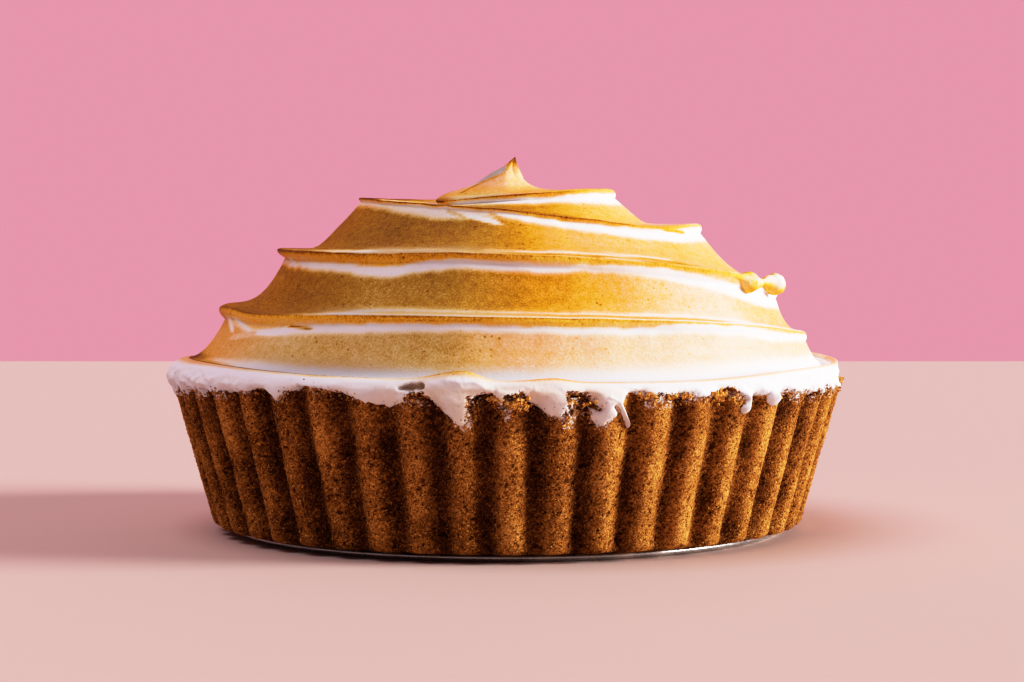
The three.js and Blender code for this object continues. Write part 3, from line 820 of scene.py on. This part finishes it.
def toasting(turn, below, above, points):
    """Degree of toasting from 0, white, to 1, dark brown.

    below is the depth under the edge above, and above the height over the edge below.
    """
    base, shade, start, stop, foot, edge = through(BROWNING, turn)
    flat = points * [1, 1, 0.2]
    base = base + 0.05 * layered(points, (22.0, 22.0, 9.0), 61)
    base = base + 0.03 * noise(points, (15.0, 15.0, 1.4), 64)
    wave = 0.4 * noise(flat, 9.0, 66) + 0.3 * noise(flat, 3.0, 67)
    under = below + wave
    streaks = 0.08 * noise(np.stack([turn * 40, below * 3, 0 * turn], axis=-1), 1.0, 68)
    lip = shade + 0.1 * np.exp(-below / 0.9) - 0.05 * ease(below, 1.0, 2.6) + streaks
    lip = np.clip(lip, 0, 0.85)
    lip = lip * (1 - ease(under, start - 0.6, start + 0.6))
    left = 1 - ease(np.cos(TAU * turn), -0.85, -0.5)
    line = edge * bell(below, 0.45 + 0.45 * left) * ease(below, -0.3, 0.1)
    cove = base * ease(under, stop - 0.5, stop + 1.8)
    # Partly painted shade: a light toast over the sheltered white under the ridge of the third turn,
    # standing partly for browning and partly for the shade there.
    toast_and_shade_veil = 0.15 * plateau(turn, 2.24, 2.28, 2.42, 2.5)
    cove = cove + toast_and_shade_veil * plateau(under, start, start + 0.8, stop, stop + 1.0)
    upper = turn > SWIRL_START + 1
    pale = 1 - ease(above + 0.6 * wave, (0.15 + 0.55 * upper) * foot, 0.2 + 1.4 * foot)
    cove = cove * (1 - (0.92 - 0.12 * upper) * pale * ease(foot, 0.2, 1.0))
    smear = 0.6 * bell(above, 0.5 + 1.2 * ease(turn, 0.41, 0.47))
    smear = smear * plateau(turn, 0.38, 0.42, 0.5, 0.54)
    brow = left * (0.1 + 0.3 * (turn > 2)) * bell(above, 0.35 + 0.8 * (turn > 3)) * upper
    toast = streaked(lip + line + cove + brow + smear, turn, below, STREAKS, wave)
    toast = streaked(toast, turn, above, SHELF_STREAKS, wave)
    return np.clip(peak_toast(toast, turn, points), 0, 1)


def past_fold(points):
    """1 on the side of the peak that lies beyond its fold, 0 elsewhere."""
    x, _, z = np.moveaxis(points, -1, 0)
    fold = np.interp(x, PEAK_FOLD[:, 0], PEAK_FOLD[:, 1])
    return ease(z - fold, 0.1, 0.6) * (1 - ease(x, -1.0, 0.4))


def peak_toast(toast, turn, points):
    """Toast with the looks of the peak: amber foot, pale left side, fold and dark tip."""
    x, y, z = np.moveaxis(points, -1, 0)
    crown = ease(turn, PEAK_START, SWIRL_END - 0.5) * ease(z, 118.4, 119.4)
    front = ease(-y, -9.0, -5.0) * crown
    away = path_distance(x, z, PEAK_FOLD)
    face = 0.34 + 0.16 * ease(-z, -124.5, -121.0) + 0.06 * noise(points, (4.0, 4.0, 2.0), 87)
    side = 0.12 + 0.24 * ease(-x, 12.0, 16.0) + 0.08 * noise(points, 2.5, 88)
    toast = toward(toast, toward(face, side, past_fold(points)), front)
    toast = toast + 0.28 * bell(away, 0.4) * front
    return toast + 0.6 * ease(z, PEAK_HEIGHT - 4.5, PEAK_HEIGHT - 0.5)


swirl = make_swirl()


# ---- Band of meringue over the rim ----

FRONT_COLUMNS = 1150
BACK_COLUMNS = 380
BAND_ROWS = 56
TOP_SHARE = 0.1              # share of the rows that lie on top of the lip
BAND_BOTTOM = 41.0
BAND_WIDE = 119.9
BAND_SHIFT = 1.6
SKIN = 1.3                   # thickness of the smears on the wall
ARC = RIM_RADIUS * math.pi / 180

# Strands and drops of meringue that hang below the band: azimuth, height, radius.
STRANDS = [
    [(-76, 51.5, 1.2), (-74.6, 50.2, 0.95), (-73.5, 46.6, 0.8), (-72.5, 43.4, 0.55),
     (-72.2, 42.2, 0.3)],
    [(-53, 53.5, 1.8), (-51.8, 51, 1.2), (-51.6, 49.4, 1.1), (-52, 47.3, 2)],
    [(-45.8, 53, 2), (-45.7, 50.2, 2.7)],
    [(46, 52, 1.4), (46.6, 48, 1.2), (46.8, 46.4, 1.5)],
    [(101, 52, 2), (101, 50, 2.1)],
]

# Openings in the smears: azimuth, height, radius along their length.
OPENINGS = [
    [(-81.6, 51.8, 0.5), (-79.8, 51, 0.9), (-78.4, 49.4, 0.9), (-77.2, 47.8, 0.5)],
    [(-74.4, 47.4, 0.7), (-75, 48.6, 0.4)],
]

# Small hollow in the band beside the mound.
POCKET = [(-106.2, 54.3, 0.6), (-104.6, 54.3, 1.1), (-103.2, 54.8, 0.9)]


def near_path(degrees, height, path):
    """How far inside a path of (azimuth, height, radius) each point lies, in millimetres."""
    inside = np.full(np.broadcast(degrees, height).shape, -9.0)
    for (a0, z0, r0), (a1, z1, r1) in zip(path[:-1], path[1:]):
        dx, dz = (a1 - a0) * ARC, z1 - z0
        x = degrees_past(a0, degrees) * ARC
        z = height - z0
        u = np.clip((x * dx + z * dz) / (dx * dx + dz * dz), 0, 1)
        inside = np.maximum(inside, toward(r0, r1, u) - np.hypot(x - dx * u, z - dz * u))
    return inside


def cover(degrees, height, points):
    """Depth inside the meringue's outline on the wall; negative where the wall is bare."""
    ragged = 0.5 * noise(points, 2.4, 72) + 0.4 * noise(points, 0.9, 73)
    left = 1 - ease(np.abs(degrees + 157), 14.0, 24.0)
    inside = (height - band_edge(degrees)) * 0.75 + ragged
    inside = inside + 1.6 * left * ease(noise(points, (1.5, 1.5, 6.0), 85), 0.1, 0.6)
    crumbs = noise(points, 0.62, 77) + 0.5 * noise(points, 2.2, 78)
    share = broken(degrees) * ease(-height, -54.0, -51.0)
    inside = toward(inside, np.minimum(inside, 2.6 * crumbs + 0.2), share)
    for path in STRANDS:
        inside = np.maximum(inside, near_path(degrees, height, path) + 0.15 * ragged)
    for path in OPENINGS:
        inside = np.minimum(inside, -near_path(degrees, height, path) + 0.3 * ragged)
    return inside


def band_body(azimuth, over, drop, rough):
    """Radius of the soft roll over the lip, and the height of its creases."""
    east = np.cos(azimuth)
    lip_r = lip_radius(-azimuth / TAU)
    wide = BAND_WIDE - BAND_SHIFT * east
    bulge = rounded((drop + 0.2) / (5 + 2.5 * ease(-east, 0.75, 0.98)))
    body = lip_r - 2.4 * (1 - over) + (wide - lip_r) * bulge * over
    worn = ease(-east, 0.45, 0.85)
    folds = 0.7 - 2.0 * np.abs(noise(rough, (11.0, 11.0, 4.5), 74))
    creases = 0.38 * folds + 0.3 * noise(rough, (3.5, 3.5, 1.5), 75)
    creases = creases + (0.1 + 0.3 * worn) * noise(rough, 1.1, 76)
    creases = creases + 0.35 * worn * noise(rough, (3.0, 3.0, 1.6), 86)
    return body + creases * ease(drop, 0.8, 3.0), creases


def band_smear(azimuth, height, inside):
    """Radius of the thin smears and strands on the wall, and where the strands are."""
    rise = SKIN * rounded(inside / SKIN)
    proud = 0.62 * ease(inside, 0, 3.5)
    drops = np.zeros(inside.shape)
    for path in STRANDS:
        bead = np.clip(near_path(np.degrees(azimuth), height, path), 0, 3)
        drops = np.maximum(drops, ease(bead, 0, 0.3))
        rise = np.maximum(rise, 1.5 * np.sqrt(bead))
        proud = np.maximum(proud, 0.85 * ease(bead, 0, 0.6))
    return wall_radius(height) - flute_inset(azimuth) * (0.95 - proud) + rise, drops


def band_toast(azimuth, height, drop, mound, hollow, rough):
    """Toast of the band: a line along its lip, the mounds, painted shade in the hollow, and a peach
    patch.
    """
    east = np.cos(azimuth)
    width = 0.3 + 0.5 * ease(-east, 0.75, 0.98) + 0.25 * ease(east, 0.2, 0.8)
    shown = 0.75 + 0.25 * noise(polar(60, azimuth, 0.0), 5.0, 79)
    brown = 0.42 + 0.14 * ease(-east, 0.3, 0.95)
    toast = bell(0.15 - drop, width) * shown * brown + 0.15 * mound * bell(0.6 - drop, 1.0)
    # Painted shade: toast darkens the hollow beside the mound.
    toast = toast + 0.14 * ease(hollow, -0.2, 0.6)
    peach = 0.15 * bell(np.degrees(azimuth) + 94, 20) * ease(-height, -57.0, -53.0)
    return toast + peach * (0.8 + 0.5 * noise(rough, 6.0, 83))


def band_dust(degrees, height, inside, rough):
    """Crumbs caught in the band: along its lower edge and where the smear breaks up."""
    low_part = ease(-height, -55.5, -52.0)
    dust = 0.9 * broken(degrees) * low_part * ease(-inside, -3.0, -0.5)
    dust = dust + 0.22 * ease(-inside, -2.0, 0.0) + 0.06 * low_part
    return dust * (0.8 + 0.5 * noise(rough, 3.0, 84))


def make_band():
    """Band from inside the lip, over it and down the wall to its ragged lower edge."""
    front = np.linspace(-math.pi, 0, FRONT_COLUMNS, endpoint=False)
    back = np.linspace(0, math.pi, BACK_COLUMNS, endpoint=False)
    azimuth = np.concatenate([front, back])[None, :]
    degrees = np.degrees(azimuth)
    along = np.linspace(0, 1, BAND_ROWS)[:, None]
    over = np.clip(along / TOP_SHARE, 0, 1)
    down = np.clip((along - TOP_SHARE) / (1 - TOP_SHARE), 0, 1)
    mound = tongue(-azimuth / TAU)
    lip = rim_lip(-azimuth / TAU) + mound
    height = lip - (0.6 + mound) * (1 - over) ** 2 - (lip - BAND_BOTTOM) * down
    drop = lip - height
    rough = polar(RIM_RADIUS, azimuth, height)

    inside = cover(degrees, height, rough)
    body, creases = band_body(azimuth, over, drop, rough)
    smear, drops = band_smear(azimuth, height, inside)
    covered = toward(smear + 0.5 * creases, body, ease(height, 50.5, 55.0))
    hollow = near_path(degrees, height, POCKET) + 0.6 * noise(rough, 1.5, 80)
    covered = covered - 5.2 * ease(hollow, -0.5, 0.6)
    bare = wall_radius(height) - flute_inset(azimuth) - 2.4
    radius = toward(bare, covered, ease(inside, -0.35, 0.1))
    radius = np.where(along < TOP_SHARE, body, radius)
    points = polar(radius, azimuth, height)

    toast = band_toast(azimuth, height, drop, mound, hollow, rough)
    dust = band_dust(degrees, height, inside, rough) * (along > TOP_SHARE) * (1 - drops)
    faces = ring_grid(BAND_ROWS, FRONT_COLUMNS + BACK_COLUMNS)[:, ::-1]
    # The amber share is painted light by the side of the pie, as on the swirl.
    return make_piece("meringue_band", points, faces, "meringue",
                      toast=np.clip(toast, 0, 1), dust=np.clip(dust, 0, 1),
                      amber=amber(points, 0.3))


band = make_band()


# ---- Curls ----

# The loose end of the second turn: points of its path and its radius there.
CURL_PATH = np.array([
    [73, -59.6, 89.8, 0.8], [77.8, -54.2, 88.8, 1.4], [81, -50.4, 87.5, 3.8], [83.8, -46.8, 87.2, 2.2],
    [87, -41.4, 87.5, 1.3], [89.6, -37, 87.3, 2.8], [92.2, -34.2, 87.1, 3.8], [94.2, -32, 86.9, 2.8],
    [95.4, -30.8, 86.6, 1.2],
])
CURL_HONEY = 0.7
CURL_STEPS = 60
CURL_SIDES = 40


def make_curls():
    """Two beads of meringue at the loose end of the ridge."""
    part = np.linspace(0, len(CURL_PATH) - 1, CURL_STEPS)
    rows = np.concatenate([np.arange(len(CURL_PATH))[:, None], CURL_PATH], axis=1)
    x, y, z, radius = through(rows, part)
    centre = np.stack([x, y, z], axis=-1)
    ahead = np.gradient(centre, axis=0)
    ahead /= np.linalg.norm(ahead, axis=1, keepdims=True)
    side = np.cross(ahead, [0, 0, 1])
    side /= np.linalg.norm(side, axis=1, keepdims=True)
    up = np.cross(side, ahead)
    ends = np.sqrt(np.clip(1 - np.abs(np.linspace(-1, 1, CURL_STEPS)) ** 6, 0, 1))
    angle = circle(CURL_SIDES)[None, :, None]
    ring = np.cos(angle) * side[:, None, :] + np.sin(angle) * up[:, None, :]
    out = ring * (radius * ends)[:, None, None]
    points = centre[:, None, :] + out
    swell = 1 + 0.16 * noise(points, 3.2, 81) + 0.06 * noise(points, 1.3, 82)
    points = centre[:, None, :] + out * swell[..., None]
    # Painted highlight and shade: away from the root, the curls are paler where they face the front and
    # up; everywhere they are paler on their bulges and browner in their dents.
    painted_bulge_light = noise(points, 3.2, 81)
    face = ring[..., 1] * -0.8 + ring[..., 2] * 0.35
    root = 1 - ease(part, 0.8, 1.8)[:, None]
    toast = 0.5 - 0.44 * ease(face, 0.2, 0.75) * (1 - root) - 0.16 * painted_bulge_light
    faces = ring_grid(CURL_STEPS, CURL_SIDES)
    return make_piece("meringue_curls", points, faces, "meringue", toast=np.clip(toast, 0, 1),
                      amber=np.ones(toast.shape), honey=np.full(toast.shape, CURL_HONEY))


curls = make_curls()


# ---- Crumbs at the rim ----

# Clusters of larger crumbs: azimuth, height, half-width in degrees, half-height, number.
CLUSTERS = [
    (-88.4, 49.5, 1.6, 1.6, 60), (-91.5, 51.5, 1.2, 0.8, 10), (-68.6, 51.6, 1.4, 1, 22),
    (-56.8, 51.4, 1.5, 1.5, 50), (-54, 49.8, 0.5, 0.7, 12), (-63, 51.2, 2.4, 0.9, 24),
    (-6, 52.6, 6, 1.4, 44), (-78, 49.8, 2.2, 1.2, 12), (75, 51.6, 7, 1, 30), (160, 51.4, 9, 1, 30),
]


def make_rim_crumbs():
    """Crumbs along the top of the wall and stuck in the meringue's lower edge."""
    rng = np.random.default_rng(17)
    degrees = rng.uniform(-180, 180, RIM_CRUMBS)
    height = band_edge(degrees) - 0.3 + rng.normal(0, 1.0, RIM_CRUMBS)
    azimuth = np.radians(degrees)
    sizes = rng.uniform(0.25, 0.8, RIM_CRUMBS) * rng.uniform(0.6, 1.0, RIM_CRUMBS)
    radius = wall_radius(height) - flute_inset(azimuth) * 0.9 + 0.25
    on_band = ease(height - band_edge(degrees), 0.2, 1.6)
    radius = radius + (SKIN + 0.1) * on_band
    chance = 1.0 - 0.97 * on_band * (1 - 0.8 * broken(degrees))
    chance = chance * (0.35 + 0.65 * np.clip(broken(degrees) * 1.6, 0, 1))
    for path in STRANDS:
        chance = chance * (near_path(degrees, height, path) < -0.5)
    keep = rng.uniform(0, 1, RIM_CRUMBS) < chance
    centres = [polar(radius, azimuth, height)[keep]]
    sizes = [sizes[keep]]
    values = [rng.uniform(0.0, 1.1, keep.sum())]
    for middle, level, half, tall, number in CLUSTERS:
        azimuth = np.radians(middle + half * rng.normal(0, 0.6, number))
        height = level + tall * rng.normal(0, 0.6, number)
        radius = wall_radius(height) - 0.3 * flute_inset(azimuth) + rng.uniform(0.2, 1.2, number)
        centres.append(polar(radius, azimuth, height))
        sizes.append(rng.uniform(0.4, 1.0, number))
        values.append(rng.uniform(0.6, 1.8, number))
    points, faces = scatter(np.concatenate(centres), np.concatenate(sizes), rng)
    values = np.concatenate(values)
    return make_crumbs("rim_crumbs", points, faces, values, np.zeros(len(values)))


rim_crumbs = make_rim_crumbs()


# ---- Materials ----

class Shader:
    """Node tree of a material or world, with short calls for the nodes used here."""

    def __init__(self, owner, surface="Principled BSDF"):
        owner.use_nodes = True
        self.tree = owner.node_tree
        self.surface = self.tree.nodes[surface]

    def put(self, socket, value):
        """Give a socket its link, number or colour."""
        if isinstance(value, bpy.types.NodeSocket):
            self.tree.links.new(value, socket)
        else:
            socket.default_value = value

    def set(self, node=None, **inputs):
        """Give a node's inputs their values by name; without a node, the surface's."""
        for key, value in inputs.items():
            self.put((node or self.surface).inputs[key.replace("_", " ")], value)

    def node(self, kind, settings=(), **inputs):
        made = self.tree.nodes.new(kind)
        for key, value in dict(settings).items():
            setattr(made, key, value)
        self.set(made, **inputs)
        return made

    def value(self, name):
        return self.node("ShaderNodeAttribute", {"attribute_name": name}).outputs["Fac"]

    def place(self, kind="Object"):
        return self.node("ShaderNodeTexCoord").outputs[kind]

    def noise(self, scale, detail=2.0, rough=0.5):
        made = self.node("ShaderNodeTexNoise", Scale=scale, Detail=detail, Roughness=rough,
                         Vector=self.place())
        return made.outputs["Fac"]

    def cells(self, scale, output="Distance"):
        made = self.node("ShaderNodeTexVoronoi", Scale=scale, Vector=self.place())
        return made.outputs[output]

    def math(self, operation, a, b, clamp=False):
        made = self.node("ShaderNodeMath", {"operation": operation, "use_clamp": clamp})
        self.put(made.inputs[0], a)
        self.put(made.inputs[1], b)
        return made.outputs[0]

    def add(self, a, b, clamp=False):
        return self.math("ADD", a, b, clamp)

    def times(self, a, b):
        return self.math("MULTIPLY", a, b)

    def spread(self, source, low, high, to_low=0.0, to_high=1.0):
        made = self.node("ShaderNodeMapRange", Value=source, From_Min=low, From_Max=high,
                         To_Min=to_low, To_Max=to_high)
        return made.outputs["Result"]

    def speckle(self, scale, detail, strength, rough=0.6):
        return self.spread(self.noise(scale, detail, rough), 0.3, 0.7, -strength, strength)

    def ramp(self, source, stops):
        made = self.node("ShaderNodeValToRGB", Fac=source)
        elements = made.color_ramp.elements
        while len(elements) < len(stops):
            elements.new(0.5)
        for element, (position, color) in zip(elements, stops):
            element.position = position
            element.color = (*color, 1)
        return made.outputs["Color"]

    def mix(self, amount, a, b):
        made = self.node("ShaderNodeMix", {"data_type": "RGBA"})
        ends = {end.identifier: end for end in (*made.inputs, *made.outputs)}
        self.put(ends["Factor_Float"], amount)
        self.put(ends["A_Color"], a)
        self.put(ends["B_Color"], b)
        return ends["Result_Color"]

    def bump(self, height, distance, strength):
        made = self.node("ShaderNodeBump", Strength=strength, Distance=distance, Height=height)
        self.set(Normal=made.outputs["Normal"])


# Colours by toast, from none to dark brown, each with the toast at which it is reached.
WHITE = (0.88, 0.865, 0.88)
# TAN serves the shaded side and ORANGE the lit side, with GOLD on the shaded lips: lit and shaded
# copies of the browning, as painted light. The curls and the peak use fixed shares.
TAN = [
    (0, WHITE), (0.14, (0.86, 0.77, 0.65)), (0.32, (0.8, 0.62, 0.36)), (0.5, (0.67, 0.47, 0.17)),
    (0.6, (0.54, 0.335, 0.068)), (0.68, (0.46, 0.26, 0.032)), (0.8, (0.36, 0.168, 0.03)),
    (0.92, (0.22, 0.08, 0.02)), (1, (0.11, 0.035, 0.012)),
]
ORANGE = [
    (0, WHITE), (0.12, (0.9, 0.74, 0.6)), (0.2, (0.92, 0.61, 0.44)), (0.32, (0.93, 0.48, 0.28)),
    (0.42, (0.91, 0.415, 0.14)), (0.52, (0.86, 0.385, 0.045)), (0.6, (0.72, 0.335, 0.012)),
    (0.68, (0.54, 0.26, 0.007)), (0.82, (0.34, 0.14, 0.008)), (1, (0.11, 0.035, 0.008)),
]
GOLD = [
    (0, WHITE), (0.14, (0.92, 0.82, 0.66)), (0.3, (0.94, 0.69, 0.36)), (0.42, (0.95, 0.61, 0.13)),
    (0.5, (0.93, 0.565, 0.065)), (0.58, (0.82, 0.45, 0.04)), (0.68, (0.56, 0.265, 0.025)),
    (0.82, (0.3, 0.108, 0.016)), (1, (0.11, 0.035, 0.01)),
]
# Painted shade: the colours of the white and of light toast in shade.
PAINTED_SHADE_COLOURS = [(0, (0.5, 0.51, 0.54)), (0.4, (0.54, 0.38, 0.19))]
# Colours of the crumbs stuck in the meringue, of the crust, and of meringue on the crust.
STUCK = [(0.2, (0.05, 0.016, 0.004)), (0.5, (0.22, 0.085, 0.018)), (0.8, (0.58, 0.26, 0.05))]
BAKED = [
    (0, (0.035, 0.009, 0.002)), (0.25, (0.15, 0.05, 0.012)), (0.5, (0.42, 0.182, 0.04)),
    (0.75, (0.76, 0.4, 0.105)), (1, (0.95, 0.6, 0.2)),
]
FROTH = [(0, (0.78, 0.68, 0.6)), (1, (0.88, 0.82, 0.8))]
TINPLATE = [(0.3, (0.52, 0.51, 0.49)), (0.7, (0.74, 0.73, 0.71))]


def meringue_material():
    """Soft meringue, white where sheltered, golden to dark brown where toasted."""
    material = bpy.data.materials.new("toasted_meringue")
    look = Shader(material)
    toast = look.value("toast")
    grain = look.add(look.speckle(1700, 2, 0.11), look.speckle(420, 3, 0.06))
    grain = look.times(grain, look.spread(toast, 0.03, 0.4))
    rare = look.spread(look.noise(110, 1), 0.54, 0.62)
    dots = look.times(look.spread(look.cells(420), 0.1, 0.24, 0.25, 0.0), rare)
    dots = look.times(dots, look.spread(toast, 0.1, 0.4))
    total = look.add(look.add(toast, grain), dots, clamp=True)
    # The amber and honey shares mix in lit and shaded copies of the browning as painted light; the last
    # share greys it as painted shade.
    color = look.mix(look.value("amber"), look.ramp(total, TAN), look.ramp(total, ORANGE))
    color = look.mix(look.value("honey"), color, look.ramp(total, GOLD))
    color = look.mix(look.value("painted_shade"), color, look.ramp(total, PAINTED_SHADE_COLOURS))
    specks = look.add(look.noise(950, 3, 0.75), look.times(look.value("dust"), 0.42))
    stuck = look.ramp(look.cells(1100, "Color"), STUCK)
    relief = look.math("SUBTRACT", look.noise(1000, 3, 0.6), look.times(dots, 3.0))
    look.bump(relief, 0.0004, 0.35)
    look.set(Base_Color=look.mix(look.spread(specks, 0.7, 0.75), color, stuck),
             Roughness=0.68, Specular_IOR_Level=0.15, Subsurface_Weight=0.1,
             Subsurface_Scale=0.003, Subsurface_Radius=(1.0, 0.6, 0.35))
    return material


def crust_material():
    """Dark brown packed crumb with lighter orange grains, painted shade in its hollows and flute
    valleys, and painted light on its lit side.
    """
    material = bpy.data.materials.new("baked_crumb")
    look = Shader(material)
    packed = look.spread(look.value("grain"), 0.0, 1.0, 0.5, 0.66)
    own = look.spread(look.cells(1700, "Color"), 0.0, 1.0, -0.15, 0.15)
    # Painted shade and highlight: dark specks stand for the shade in small pits, light specks for
    # glints on the crumbs.
    pits = look.spread(look.noise(1600, 2, 0.6), 0.585, 0.65, 0.0, -0.45)
    painted_glints = look.spread(look.noise(1400, 2, 0.6), 0.61, 0.68, 0.0, 0.22)
    patch = look.speckle(60, 2, 0.03, rough=0.5)
    tone = look.add(look.add(packed, own), look.add(look.speckle(2400, 2, 0.12), patch))
    tone = look.add(tone, look.add(pits, painted_glints))
    # Painted shade: the crumb is darker where its relief sinks, and the depth value darkens the flute
    # valleys and the shaded side and lightens the lit side.
    tone = look.add(tone, look.spread(look.value("relief"), -0.6, 0.2, -0.45, 0.08))
    tone = look.add(tone, look.times(look.value("depth"), -0.32), clamp=True)
    specks = look.add(look.noise(1050, 3, 0.75), look.times(look.value("fleck"), 0.26))
    color = look.mix(look.spread(specks, 0.76, 0.8), look.ramp(tone, BAKED),
                     look.ramp(look.noise(300), FROTH))
    height = look.math("SUBTRACT", look.noise(2000, 3, 0.7), look.cells(1700))
    look.bump(height, 0.0004, 0.7)
    look.set(Base_Color=color, Roughness=0.9, Specular_IOR_Level=0.08)
    return material


def tin_material():
    """Thin worn tinplate."""
    material = bpy.data.materials.new("worn_tinplate")
    look = Shader(material)
    rough = look.spread(look.noise(400, 3, 0.6), 0.3, 0.7, 0.24, 0.42)
    look.bump(look.noise(900, 2, 0.5), 0.0001, 0.3)
    look.set(Base_Color=look.ramp(look.noise(60, 4, 0.6), TINPLATE), Roughness=rough,
             Metallic=1.0)
    return material


def give(piece, material):
    piece.data.materials.clear()
    piece.data.materials.append(material)


toasted = meringue_material()
crumb = crust_material()
for piece in (crust, wall_crumbs, rim_crumbs):
    give(piece, crumb)
for piece in (swirl, band, curls):
    give(piece, toasted)
give(tin, tin_material())


# ---- Floor and light ----

FLOOR_HALF = 3.0             # metres from the middle of the floor to its sides
# Lights: name, place in metres, softness in degrees, strength, colour.
LIGHTS = (
    ("key", (1.95, -0.26, 0.6), 22, 5.1, (0.96, 0.97, 0.98)),
    ("overhead", (-0.6, -0.45, 1.6), 50, 1.62, (1, 0.93, 1)),
)
# Colours of the room, from the dim side in front to the backdrop behind.
ROOM = [(0.1, (0.178, 0.14, 0.168)), (0.8, (0.86, 0.36, 0.45))]
# Film-like tones: light in the scene, light shown.
TONES = ((0.02, 0.006), (0.1, 0.05), (0.25, 0.18), (0.5, 0.47), (0.8, 0.76), (1.2, 0.92))
BRIGHTEST = 2.0              # light in the scene that is shown as white


def add_floor():
    """Plain pale floor at the underside of the tin's base."""
    mesh = bpy.data.meshes.new("floor")
    corners = [(x * FLOOR_HALF, y * FLOOR_HALF, 0) for x, y in ((-1, -1), (1, -1), (1, 1), (-1, 1))]
    mesh.from_pydata(corners, [], [(0, 1, 2, 3)])
    floor = add_object("floor", mesh)
    material = bpy.data.materials.new("pale_floor")
    Shader(material).set(Base_Color=(0.66, 0.5, 0.44, 1), Roughness=0.8)
    give(floor, material)


def add_light(name, place, softness, strength, color):
    """Far, soft light that shines from a place towards the middle of the pie."""
    data = bpy.data.lights.new(name, "SUN")
    data.angle = math.radians(softness)
    data.energy = strength
    data.color = color
    light = add_object(name, data)
    light.location = place
    light.rotation_euler = Vector(place).to_track_quat("Z", "Y").to_euler()


def add_world():
    """Dim room with a pale pink backdrop behind the pie."""
    world = bpy.data.worlds.new("studio")
    look = Shader(world, "Background")
    split = look.node("ShaderNodeSeparateXYZ", Vector=look.place("Generated"))
    look.set(Color=look.ramp(split.outputs["Y"], ROOM))
    bpy.context.scene.world = world


def set_tones():
    """Film-like tones: deeper darks, and lights that roll off."""
    settings = bpy.context.scene.view_settings
    settings.view_transform = "Standard"
    settings.look = "None"
    settings.use_curve_mapping = True
    mapping = settings.curve_mapping
    mapping.white_level = (BRIGHTEST, BRIGHTEST, BRIGHTEST)
    for light, shown in TONES:
        mapping.curves[3].points.new(light / BRIGHTEST, shown)
    mapping.update()


add_floor()
for light in LIGHTS:
    add_light(*light)
add_world()
set_tones()
bpy.context.view_layer.update()
